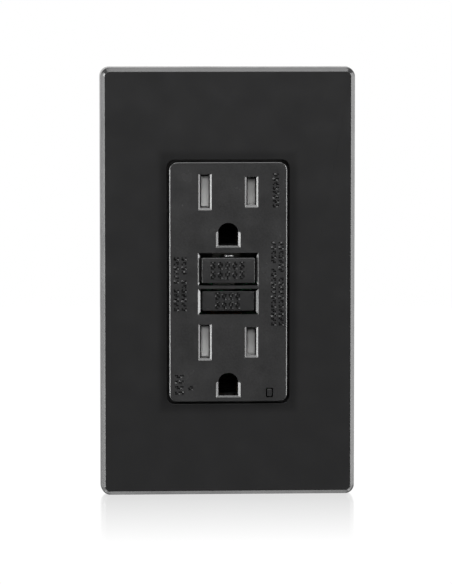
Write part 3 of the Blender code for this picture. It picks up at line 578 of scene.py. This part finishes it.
plastic("led_epoxy", (0.2, 0.5, 0.22), 0.15, grain=500.0, mottle=0.1, bump=0.1, coat=0.6)
metal("zinc_plated_steel", (0.62, 0.62, 0.6), 0.34, along=(1.0, 1.0, 0.12), tarnish=0.14)
metal("spring_steel", (0.36, 0.36, 0.36), 0.38, tarnish=0.12)
metal("brass", (0.5, 0.34, 0.14), 0.4, along=(1.0, 0.15, 1.0), tarnish=0.22)
metal("nickel_plated_brass", (0.52, 0.5, 0.45), 0.36, along=(1.0, 0.15, 1.0), tarnish=0.15)
metal("green_zinc_steel", (0.06, 0.3, 0.1), 0.36, tarnish=0.3)
banded(metal("enamelled_copper", (0.5, 0.19, 0.08), 0.32), (0, 0, 2600.0))
banded(metal("wound_ferrite", (0.45, 0.18, 0.08), 0.4, tarnish=0.25), (1300.0, 0, 1300.0))
laminate("board_laminate", (0.02, 0.12, 0.05), (0.03, 0.2, 0.08))


# ---------------------------------------------------------------- cover plate


def cover_shell():
    """Drafted shell as one closed ring: side wall, chamfer, front, window edge and cavity."""
    def outer(inset, corner):
        return outline(PLATE_W - 2 * inset, PLATE_H - 2 * inset, corner, steps=10)

    def window(grow):
        return outline(WINDOW_W + 2 * grow, WINDOW_H + 2 * grow, WINDOW_CORNER + grow, steps=10)

    sections = [
        (outer(0, PLATE_CORNER), 0),
        (outer(PLATE_DRAFT, PLATE_CORNER), PLATE_SHOULDER),
        (outer(PLATE_INSET, FRONT_CORNER), PLATE_FRONT),
    ]
    for i in range(5):
        a = math.radians(90 * i / 4)
        grow = WINDOW_FILLET * (1 - math.sin(a))
        sections.append((window(grow), PLATE_FRONT + WINDOW_FILLET * (1 - math.cos(a))))
    back = PLATE_FRONT + PLATE_SKIN
    cavity = outer(PLATE_WALL, CAVITY_CORNER)
    sections += [(window(0), back), (cavity, back), (cavity, 0)]
    root, tip = PLATE_W / 2 - PLATE_WALL + 0.4, FRAME_W / 2 + 0.3
    lugs = [beside(side, tip, root, back - 0.3, -1.0, z - LUG_HALF, z + LUG_HALF)
            for side, z in four(1, LUG_Z)]
    ribs = [beside(side, 20.0, 20.8, back - 0.3, back + 0.6, z - RIB_HALF, z + RIB_HALF)
            for side, z in four(1, RIB_Z)]
    shell = shape("cover_shell", loft(sections, closed=True), joins=[blocks(lugs), blocks(ribs)],
                  bevel=0.1, limit=25.0)
    stands_for(shell, "cover_plate")


# ---------------------------------------------------------------- outlet face


def tapered_mouth(inner, grown, bevel_w, bevel_t):
    """Cutter for an opening whose mouth widens by bevel_w over the depth bevel_t."""
    over = 0.3
    return loft([
        (grown(bevel_w * (1 + over / bevel_t)), FACE_FRONT - over),
        (inner, FACE_FRONT + bevel_t),
        (inner, FACE_FRONT + FACE_SKIN + 1),
    ])


def blade_slot(x, z, height):
    def mouth(grow):
        half = SLOT_W / 2 + grow
        bottom = z - height / 2 + BOTTOM_LIFT - grow * BOTTOM_BEVEL
        return rectangle(x - half, x + half, bottom, z + height / 2 + TOP_LIFT + grow * TOP_BEVEL)

    return tapered_mouth(mouth(0), mouth, SLOT_BEVEL_W, SLOT_BEVEL_T)


def scaled_ground(z, factor):
    return [(x * factor, z + (pz - z) * factor) for x, pz in ground_outline(z)]


def ground_hole(z):
    """Cutter for a ground hole, which flares behind its bevelled mouth and narrows to a throat."""
    over = 0.3
    return loft([
        (ground_outline(z, GROUND_BEVEL_W + over * GROUND_BEVEL_W / GROUND_BEVEL_T), FACE_FRONT - over),
        (ground_outline(z), FACE_FRONT + GROUND_BEVEL_T),
        (scaled_ground(z, GROUND_FLARE), FACE_FRONT + FLARE_DEPTH),
        (scaled_ground(z, GROUND_THROAT), STRAP_BACKING + 0.1),
    ])


def key_opening(span, bevel):
    """Cutter for a key's opening: bevelled at both sides, with mitred ends above and below."""
    low, high = span
    half = OPENING_HALF_W - bevel

    def mouth(grow):
        end = grow * OPENING_END
        return rectangle(-half - grow, half + grow, low - end, high + end)

    return tapered_mouth(mouth(0), mouth, bevel, bevel * OPENING_SLOPE)


def mitred_ends(span, bevel):
    """Cutter that ends the side bevels of a key's opening at 45 degrees."""
    low, high = span
    half = OPENING_HALF_W - bevel
    waist = [(low, OPENING_HALF_W), (low + OPENING_MITRE, half), (high - OPENING_MITRE, half),
             (high, OPENING_HALF_W)]
    right = [(x, z) for z, x in waist]
    left = [(-x, z) for z, x in reversed(waist)]
    return prism(right + left, FACE_FRONT - 0.3, FACE_FRONT + FACE_SKIN + 1)


def print_cells(x, z, width, height, letters, blank, upright):
    """Centre, half size and kind of the marks in a field: a row of letters, each a few cells.

    Neighbouring marks nearly touch, and their kinds follow no pattern that could be read.
    """
    across, along = (width, height) if upright else (height, width)
    cells = round(across / CELL)
    pitch = across / cells
    letter = (along + LETTER_GAP) / letters
    found = []
    for k in range(letters):
        if k == blank:
            continue
        for i in range(int((letter - LETTER_GAP) / pitch)):
            for j in range(cells):
                u = -along / 2 + k * letter + (i + 0.5) * pitch
                v = (j + 0.5) * pitch - across / 2
                centre = (x + v, z + u) if upright else (x + u, z + v)
                found.append((*centre, pitch * 0.49, (7 * k + 5 * i + 3 * j + k * k) % MARK_KINDS))
    return found


def printed(obj, fields, front, relief, node):
    """Inlay fields of moulded marks in the flat front of a finished piece, which stands for node.

    The marks are small pits and studs with sloping sides, which stand for words.
    """
    boxes, pits, studs = [], [], []
    for x, z, width, height, letters, blank, upright in fields:
        half_w, half_h = width / 2 + 0.1, height / 2 + 0.1
        boxes.append((x - half_w, x + half_w, front, front + PRINT_BACKING, z - half_h, z + half_h))
        for cx, cz, half, kind in print_cells(x, z, width, height, letters, blank, upright):
            mouth = square(cx, cz, half)
            if kind < PIT_KINDS:
                pits.append(loft([(square(cx, cz, 1.01 * half), front - 0.1), (mouth, front),
                                  (square(cx, cz, 0.45 * half), front + PIT_DEPTH)]))
            elif kind < PIT_KINDS + STUD_KINDS:
                studs.append(loft([(square(cx, cz, half - 0.8 * relief), front - relief),
                                   (mouth, front), (mouth, front + 0.1)]))
    pocket = blocks([(x0, x1, y0 - 1, y1 + 0.05, z0, z1) for x0, x1, y0, y1, z0, z1 in boxes])
    name = obj.name
    cut = shape(name, taken(obj), cuts=[pocket])
    inlay = shape(f"{name}_print", blocks(boxes), joins=[merged(studs)], cuts=[merged(pits)])
    piece(inlay, NODE_BODIES[node], NODE_SLOTS[node])
    stands_for(cut, node)


def outlet_face():
    """Face with bevelled slots, ground holes and key openings, on its hidden shoulder."""
    front = outline(FACE_W - 2 * FACE_CHAMFER_W, FACE_H - 2 * FACE_CHAMFER_H, FACE_CORNER - FACE_CHAMFER_W)
    side = outline(FACE_W, FACE_H, FACE_CORNER)
    base = loft([(front, FACE_FRONT), (side, FACE_FRONT + FACE_CHAMFER_T), (side, SHOULDER_FRONT + 1)])
    side_wall, end_wall, post_floor = 1.8, 1.6, -2.3
    room = outline(FACE_W - 2 * side_wall, FACE_H - 2 * end_wall, 0.8, steps=3)
    wide_room = outline(BODY_W - 2 * BODY_WALL, BODY_H - 2 * BODY_WALL, 1.0, steps=3)
    shoulder = prism(outline(BODY_W, BODY_H, BODY_CORNER), SHOULDER_FRONT, 0)
    body = shape("outlet_face", base, joins=[shoulder],
                 cuts=[prism(room, FACE_FRONT + FACE_SKIN, 1), prism(wide_room, STRAP_BACKING, 1)])
    posts = [prism(disc(POST_R, x, z), STRAP_BACKING - 0.3, 0) for x, z in four(POST_X, POST_Z)]
    openings = [prism(disc(POST_HOLE_R, x, z), post_floor, 1) for x, z in four(POST_X, POST_Z)]
    notch_x, notch_z0, notch_z1 = 14.3, 31, 35
    openings.append(block(-notch_x, notch_x, STRAP_BACKING, 1, notch_z0, notch_z1))
    openings.append(block(-notch_x, notch_x, STRAP_BACKING, 1, -notch_z1, -notch_z0))
    sleeves = []
    for z in OUTLETS.values():
        openings.append(blade_slot(-SLOT_X, z, NEUTRAL_SLOT_H))
        openings.append(blade_slot(SLOT_X, z, HOT_SLOT_H))
        openings.append(ground_hole(z - GROUND_DROP))
        sleeve = scaled_ground(z - GROUND_DROP, SLEEVE_SCALE)
        sleeves.append(prism(sleeve, FACE_FRONT + 1, STRAP_BACKING - 0.1))
    for span, bevel in ((RESET_OPENING, RESET_BEVEL), (TEST_OPENING, TEST_BEVEL)):
        openings.append(key_opening(span, bevel))
        openings.append(mitred_ends(span, bevel))
    lens_hole = outline(INDICATOR_W + 2 * INDICATOR_GAP, INDICATOR_H + 2 * INDICATOR_GAP, INDICATOR_CORNER,
                        INDICATOR_X, INDICATOR_Z, 3)
    openings.append(prism(lens_hole, FACE_FRONT - 1, 1))
    face = shape("outlet_face", taken(body), joins=posts + sleeves, cuts=openings, bevel=0.05, limit=25.0)
    printed(face, FACE_PRINT, FACE_FRONT, FACE_RELIEF, "face_cover")


# ---------------------------------------------------------------- keys, lens and springs


def key_base(z, width, height, front):
    """Key with rounded front edges and a slightly crowned face."""
    def section(less_w, less_h, corner):
        return outline(width - less_w, height - less_h, corner, 0, z, 4)

    crown, crown_w, crown_h = 0.05, 4.0, 3.0
    sections = [(section(crown_w, crown_h, 0.3), front)]
    for i in range(4):
        a = math.radians(90 * i / 3)
        inset = KEY_EDGE * (1 - math.sin(a))
        y = front + crown + KEY_EDGE * (1 - math.cos(a))
        sections.append((section(2 * inset, 2 * inset, KEY_CORNER - inset), y))
    sections.append((section(0, 0, KEY_CORNER), KEY_BACK))
    return loft(sections)


def keys():
    """Keys with flanges behind the face: reset on a hollow stem, test on a square post."""
    flange_x = 8.7

    def flange(z, height):
        half = height / 2 - 0.5
        return block(-flange_x, flange_x, FACE_FRONT + FACE_SKIN + 0.3, KEY_BACK - 0.1, z - half, z + half)

    stem_r, bore_r, post = 2.6, 1.3, 1.5
    stem = prism(disc(stem_r, 0, RESET_Z), KEY_BACK - 0.3, 2.0)
    bore = prism(disc(bore_r, 0, RESET_Z), -2.0, 3.0)
    reset = shape("reset_key", key_base(RESET_Z, RESET_W, RESET_H, RESET_FRONT),
                  joins=[flange(RESET_Z, RESET_H), stem], cuts=[bore])
    printed(reset, RESET_PRINT, RESET_FRONT, RESET_RELIEF, "reset_button")
    test = shape("test_key", key_base(TEST_Z, TEST_W, TEST_H, TEST_FRONT),
                 joins=[flange(TEST_Z, TEST_H), prism(square(0, TEST_Z, post), KEY_BACK - 0.3, 0.5)])
    printed(test, TEST_PRINT, TEST_FRONT, TEST_RELIEF, "test_button")


def indicator_lens():
    """Light pipe whose front is flush with the face, with a small rounded rim."""
    def section(inset):
        return outline(INDICATOR_W - 2 * inset, INDICATOR_H - 2 * inset, INDICATOR_CORNER - inset / 2,
                       INDICATOR_X, INDICATOR_Z, 4)

    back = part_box("indicator_window")[1].y / MM
    lens = loft([(section(0.12), FACE_FRONT + 0.02), (section(0.03), FACE_FRONT + 0.06),
                 (section(0), FACE_FRONT + 0.16), (section(0), back)])
    stands_for(shape("indicator_lens", lens), "indicator_window")


def spring_between(name, node, axis, wire, radius, turns):
    """Coil in the space of a CAD spring, whose first and last turns lie flat."""
    length = reach(node, axis)
    spring = shape(name, coil(radius, wire, length / MM, turns), matrix=facing(node, axis))
    stands_for(spring, node)
    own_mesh(spring)


def springs():
    """Coils behind the reset key, beside each shutter, and the small one above the reset key."""
    spring_between("reset_coil", "reset_spring", Vector((0, 1, 0)), 0.28, 3.42, 7)
    for label in OUTLETS:
        spring_between(f"{label}_gate_coil", f"{label}_shutter_spring", Vector((1, 0, 0)), 0.09, 0.5, 3)
    low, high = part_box("reset_key_spring")
    turn = Matrix.Rotation(math.radians(-90), 4, "Z")
    place = Matrix.Translation((low.x, low.y - 0.45 * MM, (low.z + high.z) / 2 - 0.1 * MM))
    small = shape("reset_key_coil", coil(0.26, 0.12, (high.x - low.x) / MM, 5, closed_ends=0.0),
                  matrix=place @ turn)
    stands_for(small, "reset_key_spring")


def gates():
    """Sliding shutters: holes for the blades beside the pads that close the slots."""
    for label, z in OUTLETS.items():
        cuts = []

        def cut(left, right, back, low, high):
            cuts.append(block(left, right, SHUTTER_FRONT - 1, back, low, high))

        for x in (-SLOT_X, SLOT_X):
            hole, half, tall = x - SHUTTER_TRAVEL, SHUTTER_HOLE_W / 2, SHUTTER_HOLE_HALF_H
            cut(hole - half, hole + half, 0, z - tall, z + tall)
            for left, right in PAD_GAPS:
                cut(x + left, x + right, SHUTTER_BACK + 1, z - tall - 0.2, z + tall + 0.2)
            half_slot = (NEUTRAL_SLOT_H if x < 0 else HOT_SLOT_H) / 2
            for edge, room, depth in ((z + half_slot + 0.6, 0.42, 1.6), (z - half_slot + 0.2, 0.3, 1.0)):
                cut(x - 1.3, x + 1.3, SHUTTER_FRONT + depth, edge - room, edge + room)
            if x > 0:
                cut(x - 1.2, x + 1.2, SHUTTER_FRONT + 0.75, z - 4.0, z + 4.0)
        base = block(SHUTTER_LEFT, SHUTTER_RIGHT, SHUTTER_FRONT, SHUTTER_BACK, z - SHUTTER_HALF,
                     z + SHUTTER_HALF)
        gate = shape(f"{label}_gate_slide", base, cuts=cuts, bevel=0.1, limit=40.0)
        stands_for(gate, f"{label}_shutter")


# ---------------------------------------------------------------- screws


def screw_piece(name, node, inward, head, shank_r, pitch, drive):
    """Threaded screw in the space of a CAD screw; inward points from its head to its tip.

    head is the radius, thickness and dome of the head.
    """
    profile = domed_head(*head) + [(shank_r, head[1])]
    bm = screw_body(profile, shank_r, reach(node, inward) / MM - 0.3, pitch)
    stands_for(shape(name, bm, cuts=drive, matrix=facing(node, inward)), node)


def slot_drive(radius, width, depth):
    return [block(-radius - 1, radius + 1, -1, depth, -width / 2, width / 2)]


def cross_drive(radius, width, depth, slot_depth):
    """Combination drive: tapered cross with a full-width slot."""
    arms = []
    for w, h in ((radius, width), (width, radius)):
        arms.append(loft([
            (rectangle(-w, w, -h, h), -1),
            (rectangle(-w * 0.85, w * 0.85, -h * 0.8, h * 0.8), 0.2),
            (rectangle(-w * 0.4, w * 0.4, -h * 0.4, h * 0.4), depth),
        ]))
    return arms + slot_drive(radius * 2.2, width * 1.6, slot_depth)


def domed_head(radius, thick, dome):
    """(radius, y) profile of a pan head, from its centre to its seat."""
    flat, edge = 0.35, 0.08
    profile = [(radius * flat, 0.0)]
    for i in range(1, 6):
        a = math.radians(90 * i / 5)
        profile.append((radius * (flat + (1 - flat) * math.sin(a)), dome * (1 - math.cos(a))))
    return profile + [(radius, thick - edge), (radius - edge, thick)]


def screws():
    """All the screws: their heads as radius, thickness and dome, then shank, pitch and drive."""
    into_wall = Vector((0, 1, 0))
    for label in ("top", "bottom"):
        screw_piece(f"box_bolt_{label}", f"box_screw_{label}", into_wall, (3.45, 2.0, 0.9), 1.75, 0.8,
                    cross_drive(1.7, 0.35, 1.6, 0.7))
        screw_piece(f"frame_bolt_{label}", f"frame_screw_{label}", into_wall, (2.9, 1.2, 0.5), 1.75, 0.8,
                    cross_drive(1.5, 0.3, 0.9, 0.4))
    for number in range(1, 5):
        screw_piece(f"housing_bolt_{number}", f"housing_screw_{number}", -into_wall, (2.3, 1.1, 0.4), 1.2,
                    0.9, cross_drive(1.2, 0.28, 0.9, 0.35))
    screw_piece("ground_bolt", "ground_screw", Vector((0, 0, 1)), (4.2, 2.6, 0.5), 1.75, 0.7,
                slot_drive(4.2, 1.1, 1.0))
    for label, side in TERMINALS:
        screw_piece(f"{label}_bolt", f"{label}_screw", Vector((-side, 0, 0)), (3.9, 2.4, 0.5), 1.8, 0.7,
                    cross_drive(2.0, 0.4, 1.5, 0.8))


# ---------------------------------------------------------------- housing, strap and inner parts


def refined(name, node, bevel, joins=(), cuts=()):
    """Softened piece with the shape of a CAD node, changed by joins and cuts."""
    stands_for(shape(name, welded(frame["nodes"][node].data), joins, cuts, bevel), node)


def housing_shell():
    """Drafted cup with a parting ledge, framed terminal windows, wire holes and blank panels."""
    ledge, chamfer, post_sink = 2.6, 0.8, 1.5
    inner_back = HOUSING_BACK - HOUSING_SKIN

    def outer(less_w, less_h, corner=BODY_CORNER):
        return outline(BODY_W - less_w, BODY_H - less_h, corner)

    base = loft([(outer(0, 0), HOUSING_FRONT), (outer(0, 0), ledge), (outer(0.6, 0.6), ledge + 0.3),
                 (outer(0.9, 1.2), HOUSING_BACK - chamfer),
                 (outer(2.5, 2.8, BODY_CORNER - 0.6), HOUSING_BACK)])
    room = outline(BODY_W - 2 * BODY_WALL, BODY_H - 3.8, 1.0, steps=3)
    posts, holes = [], []
    for x, z in four(POST_X, POST_Z):
        posts.append(prism(disc(POST_R, x, z), HOUSING_FRONT, inner_back + 0.5))
        bore, seat = disc(POST_HOLE_R, x, z), disc(2.6, x, z)
        holes.append(loft([(bore, HOUSING_FRONT - 1), (bore, HOUSING_BACK - post_sink),
                           (seat, HOUSING_BACK - post_sink), (seat, HOUSING_BACK + 1)]))
    frames, windows = [], []
    rim, half, rib = 6.3, 5.2, 0.5
    sunk, proud = 20.2, BODY_W / 2 - 0.03
    for side in (-1, 1):
        for z in (LOAD_Z, LINE_Z):
            frames.append(beside(side, sunk, proud, TERMINAL_Y - rim, TERMINAL_Y + rim, z - rim, z + rim))
            windows.append(beside(side, 18.0, 22.0, TERMINAL_Y - half, TERMINAL_Y + half, z - half,
                                  z + half))
            for dz in (-WIRE_HOLE_Z, WIRE_HOLE_Z):
                wire = disc(WIRE_HOLE_R, side * WIRE_HOLE_X, z + dz)
                mouth = disc(WIRE_HOLE_R + 0.8, side * WIRE_HOLE_X, z + dz)
                holes.append(loft([(wire, inner_back - 1), (wire, HOUSING_BACK - 0.5),
                                   (mouth, HOUSING_BACK + 0.3)]))
        for z in (-1.2, 25.0, -27.5):
            frames.append(beside(side, sunk, proud, ledge - rib, HOUSING_BACK - 1.4, z - rib, z + rib))
    panels, bars = [], []
    panel_w, panel_h, bar_w, bar_h, bar_pitch = 23.0, 18.0, 15.0, 1.1, 3.2
    for z in (-12.0, 10.0):
        panels.append(prism(outline(panel_w, panel_h, 1.2, 0, z), HOUSING_BACK - 0.4, HOUSING_BACK + 1))
        for row in range(4):
            bar = outline(bar_w - 2.6 * (row % 2), bar_h, 0.3, 0, z + (1.5 - row) * bar_pitch)
            bars.append(prism(bar, HOUSING_BACK - 0.7, HOUSING_BACK - 0.2))
    shell = shape("housing_shell", base, joins=[blocks(frames)],
                  cuts=[prism(room, HOUSING_FRONT - 1, inner_back), merged(panels)])
    shell = shape("housing_shell", taken(shell), joins=[merged(posts), merged(bars)],
                  cuts=[merged(holes), blocks(windows)], bevel=0.15, limit=25.0)
    stands_for(shell, "rear_housing")


def strap_plate():
    """Yoke with score lines across its ears and wider holes behind the ground sleeves."""
    scores = [(x - 0.2, x + 0.2, -2.0, STRAP_FRONT + 0.35, side * 35.5, side * 55.0)
              for side in (-1, 1) for x in (-12.6, 12.6)]
    wells = [prism(scaled_ground(z - GROUND_DROP, WELL_SCALE), -3, 1) for z in OUTLETS.values()]
    refined("strap_plate", "mounting_strap", 0.15, cuts=[blocks(scores), merged(wells)])


def clip_frame():
    """Mounting frame with stiffening ribs beside the opening."""
    wide, front, back, ribs = 0.9, -4.0, -3.2, []
    for side in (-1, 1):
        for x in (24.6, 28.6):
            ribs.append(beside(side, x, x + wide, front, back, -45.0, 45.0))
        z0, z1 = sorted((side * 50.6, side * (50.6 + wide)))
        ribs.append((7.0, 28.0, front, back, z0, z1))
        ribs.append((-28.0, -7.0, front, back, z0, z1))
    refined("clip_frame", "mounting_frame", 0.2, joins=[blocks(ribs)])


def clamp_plates():
    """Rounded clamp plates with grooves that bite the wire."""
    bore_r, groove, groove_half = 2.15, 0.3, 0.22
    for label, side in TERMINALS:
        node = f"{label}_clamp_plate"
        low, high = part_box(node)
        thick, tall = (high.x - low.x) / MM, (high.z - low.z) / MM
        grooves = [(-6, 6, -1, groove, z - groove_half, z + groove_half)
                   for z in (-4.0, -3.2, 3.2, 4.0)]
        plate = shape(f"{label}_wire_clamp", prism(outline(tall, tall, 1.1), 0, thick),
                      cuts=[prism(disc(bore_r), -1, 3), blocks(grooves)], bevel=0.14,
                      matrix=facing(node, Vector((side, 0, 0))))
        stands_for(plate, node)


def windings():
    """Coils whose wire stands out: solenoid winding on its bobbin, and the sensing coil."""
    low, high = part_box("solenoid_winding")
    radius, length = (high.x - low.x) / 2 / MM, (high.z - low.z) / MM
    wire, groove, bobbin_r = 0.42, 0.14, 3.5
    count = 4 * int(length / wire)
    sections = []
    for i in range(count + 1):
        r = radius - groove * abs(math.sin(math.pi * i / 4))
        sections.append((disc(r, steps=40), length * i / count))
    sections += [(disc(bobbin_r, steps=40), length), (disc(bobbin_r, steps=40), 0)]
    winding = shape("solenoid_coil", loft(sections, closed=True),
                    matrix=facing("solenoid_winding", Vector((0, 0, 1))))
    stands_for(winding, "solenoid_winding")
    low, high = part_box("sensing_coil")
    outer, length = (high.x - low.x) / 2 / MM, (high.y - low.y) / MM
    inner, lanes, gap = 3.3, 132, 0.13
    centre = (outer + inner) / 2
    rings = []
    for i in range(lanes):
        a = 2 * math.pi * i / lanes
        sunk = gap if i % 3 == 0 else 0.0
        ring = outline(outer - inner - 2 * sunk, length - 2 * sunk, 0.9, steps=3)
        rings.append([((centre + u) * math.cos(a), length / 2 + v, (centre + u) * math.sin(a))
                      for u, v in ring])
    toroid = shape("toroid_coil", skin(rings, closed=True),
                   matrix=facing("sensing_coil", Vector((0, 1, 0))))
    stands_for(toroid, "sensing_coil")


def board_parts():
    """Solder joints, and the leads between the board and what stands on it."""
    low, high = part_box("circuit_board")
    front, back = low.y / MM, high.y / MM
    varistor = [(-9.5, -22.5), (-9.5, -29.5)]
    thyristor = [(-8.5, -4.0), (-8.5, -2.5), (-8.5, -1.0)]
    others = [(7.9, -24.8), (10.5, -23.0), (11.5, -9.7), (-11.5, -9.7), (8.4, -5.2), (13.3, -20.3),
              (-13.3, -20.3), (11.2, -29.2), (11.2, -30.9), (-4.0, 12.6), (4.0, 12.6), (-4.0, 27.4),
              (4.0, 27.4)]
    cone = [(0.95, -0.1), (0.85, 0.08), (0.4, 0.3), (0.3, 0.5)]
    joints = [loft([(disc(r, x, z, 16), back + y) for r, y in cone])
              for x, z in varistor + thyristor + others]
    piece(shape("solder_joints", merged(joints)), "device", "zinc_plated_steel")
    leads = [prism(disc(0.3, x, z, 12), front - 3.0, front + 0.1) for x, z in varistor]
    leads += [prism(disc(0.22, x, z, 12), front - 1.2, front + 0.1) for x, z in thyristor]
    chip_x, chip_half, pitch, half = 8.45, 2.75, 1.5, 0.25
    for side in (-1, 1):
        for i in range(4):
            z = (i - 0.5) * pitch
            x = chip_x + side * chip_half
            foot = x + side * 0.35
            leads.append(block(x - 0.45, x + 0.45, front - 1.3, front - 1.05, z - half, z + half))
            leads.append(block(foot - 0.12, foot + 0.12, front - 1.06, front + 0.05, z - half, z + half))
    piece(shape("component_leads", merged(leads)), "device", "zinc_plated_steel")


def louvre(z):
    """Rib across the carrier behind a ground contact, with a face that looks forwards and down."""
    front, back, top, half_w = 8.3, 9.75, z + 1.1, 4.6
    return skin([[(x, back, z), (x, back, top), (x, front, top)] for x in (-half_w, half_w)])


# Inner parts that keep the shape of the CAD, each with the rounding of its edges
SOFTENED = {
    "box_screw_retainer_top": 0.12, "box_screw_retainer_bottom": 0.12,
    "load_hot_contact": 0.12, "load_neutral_contact": 0.12,
    "line_hot_terminal": 0.12, "line_neutral_terminal": 0.12,
    "hot_contact_arm": 0.06, "neutral_contact_arm": 0.06, "test_contact_spring": 0.06,
    "latch_block": 0.2, "latch_plate": 0.1, "solenoid_bobbin": 0.15, "transformer_case": 0.15,
    "circuit_board": 0.1, "filter_capacitor": 0.3, "thyristor": 0.15, "control_chip": 0.08,
}


def inner_parts():
    """Softened copies of the parts inside, with their edges rounded as moulded or stamped."""
    for label, z in OUTLETS.items():
        clip_z = z - GROUND_DROP - 0.4
        refined(f"{label}_ground_clip", f"{label}_ground_contact", 0.12,
                cuts=[block(-2.8, 2.8, -1, 1.3, clip_z - 5, clip_z)])
        pads, pad_front, pad_back = [], -3.1, -1.9
        for left, right, low in ((-1.75, -1.15, -5), (1.1, 1.75, -5), (-1.75, 1.75, 3.9)):
            for x in (-SLOT_X, SLOT_X):
                pads.append((x + left, x + right, pad_front, pad_back, z + low, z + 5))
        refined(f"{label}_gate_guide", f"{label}_shutter_guide", 0.12, joins=[blocks(pads)])
    wells = [louvre(z - GROUND_DROP - 5.4 + i) for z in OUTLETS.values() for i in range(9)]
    inner, outer, front, back = 3.9, 8.95, 1.2, 1.85
    shelves = [beside(side, inner, outer, front, back, 3.0, 7.8) for side in (-1, 1)]
    shelves.append((-outer, outer, front, back, -8.8, -7.1))
    refined("contact_tray", "contact_carrier", 0.1, joins=[merged(wells), blocks(shelves)])
    for node, bevel in SOFTENED.items():
        refined(f"{node}_part", node, bevel)


# ---------------------------------------------------------------- carried-over CAD nodes


def carried_over():
    """Procedural materials on the CAD nodes, for those that no piece stands for."""
    for node in frame["nodes"].values():
        for slot in node.material_slots:
            slot.material = MATERIALS[slot.material.name.split(".")[0]]


# ---------------------------------------------------------------- stage, light and camera


def cleared_tree(owner):
    owner.use_nodes = True
    owner.node_tree.nodes.clear()
    return owner.node_tree


def mix_shaders(tree, factor, first, second):
    mix = add_node(tree, "ShaderNodeMixShader", {"Fac": factor, 1: first.outputs[0], 2: second.outputs[0]})
    return mix.outputs[0]


def floor():
    """Pale floor that the plate stands on, with a faint reflection that fades in front of it."""
    bm = bmesh.new()
    bmesh.ops.create_circle(bm, cap_ends=True, segments=96, radius=0.6)
    sheet = mesh_object("floor", bm)
    sheet.location = (0, 0, FLOOR_Z * MM)
    made = bpy.data.materials.new("pale_floor")
    tree = cleared_tree(made)
    parts = add_node(tree, "ShaderNodeSeparateXYZ", {0: object_place(tree)})
    ahead = remap(tree, parts.outputs["Y"], -0.1, -0.006, 0.0, 1.0)
    behind = remap(tree, parts.outputs["Y"], 0.0, 0.09, 0.31, 0.0)
    plain = add_node(tree, "ShaderNodeEmission", {"Color": WHITE, "Strength": 1.03})
    mirror = add_node(tree, "ShaderNodeBsdfGlossy", {"Color": WHITE, "Roughness": 0.12})
    surface = mix_shaders(tree, maths(tree, "MULTIPLY", ahead, behind), plain, mirror)
    add_node(tree, "ShaderNodeOutputMaterial", {"Surface": surface})
    sheet.data.materials.append(made)
    sheet.visible_glossy = False
    sheet.visible_diffuse = False
    sheet.visible_shadow = False


def place_at(name, data, azimuth, elevation, distance, aim):
    """Put a light or camera at a distance from the outlet, turned to aim.

    Azimuth 0 is in front of the outlet, 90 at its right.
    """
    a, e = math.radians(azimuth), math.radians(elevation)
    obj = added(name, data)
    obj.location = distance * Vector((math.sin(a) * math.cos(e), -math.cos(a) * math.cos(e), math.sin(e)))
    obj.rotation_euler = (aim - obj.location).to_track_quat("-Z", "Y").to_euler()
    return obj


def softbox(name, azimuth, elevation, wide, high, radiance, distance=0.8):
    """Area light that faces the outlet and spans wide x high degrees of its surroundings."""
    light = bpy.data.lights.new(name, "AREA")
    light.shape = "RECTANGLE"
    light.size = 2 * distance * math.tan(math.radians(wide / 2))
    light.size_y = 2 * distance * math.tan(math.radians(high / 2))
    light.energy = radiance * math.pi * light.size * light.size_y
    place_at(name, light, azimuth, elevation, distance, Vector())


def lights():
    """Soft boxes beside, above and below the outlet, and a dimmer one in front, above the camera."""
    tall = 54
    softbox("left_rim", -94, 2, 17, tall, 3.6)
    softbox("left_key", -78, 8, 13, tall, 17.0)
    softbox("left_front", -63, 8, 14, tall, 4.5)
    softbox("right_rim", 95, 2, 17, tall, 4.8)
    softbox("right_fill", 82, 8, 9, tall, 4.4)
    softbox("right_front", 70, 8, 14, tall, 17.0)
    softbox("top_rim", 0, 90, 46, 17, 4.0, distance=1.3)
    softbox("top_key", 0, 66, 46, 24, 7.0, distance=1.3)
    softbox("front_top", 0, 25, 52, 27, 3.0, distance=2.6)
    softbox("left_low", -94, -44, 17, 36, 3.6)
    softbox("right_low", 95, -44, 17, 36, 4.2)
    softbox("bottom_rim", 180, -82, 84, 15, 3.5, distance=1.3)


def world():
    """White to the camera. For light and reflections: dim in front, brighter behind, dark below."""
    studio = bpy.data.worlds.new("studio")
    bpy.context.scene.world = studio
    tree = cleared_tree(studio)
    way = add_node(tree, "ShaderNodeTexCoord").outputs["Generated"]
    parts = add_node(tree, "ShaderNodeSeparateXYZ", {0: way})
    depth = remap(tree, parts.outputs["Y"], -0.6, 0.9, 0.12, 1.0)
    height = remap(tree, parts.outputs["Z"], -0.25, 0.05, 0.08, 1.0)
    strength = maths(tree, "MULTIPLY", depth, height)
    around = add_node(tree, "ShaderNodeBackground", {"Color": WHITE, "Strength": strength})
    seen = add_node(tree, "ShaderNodeBackground", {"Color": WHITE, "Strength": 1.0})
    ray = add_node(tree, "ShaderNodeLightPath")
    surface = mix_shaders(tree, ray.outputs["Is Camera Ray"], around, seen)
    add_node(tree, "ShaderNodeOutputWorld", {"Surface": surface})


def camera():
    data = bpy.data.cameras.new("camera")
    data.lens = CAMERA_LENS
    data.sensor_width = 36.0
    bpy.context.scene.camera = place_at("camera", data, CAMERA_AZIMUTH, CAMERA_ELEVATION, CAMERA_DISTANCE,
                                        Vector(CAMERA_AIM) * MM)


carried_over()
cover_shell()
outlet_face()
keys()
indicator_lens()
springs()
gates()
screws()
housing_shell()
strap_plate()
clip_frame()
clamp_plates()
windings()
board_parts()
inner_parts()
floor()
lights()
world()
camera()
bpy.context.scene.view_settings.view_transform = "Standard"
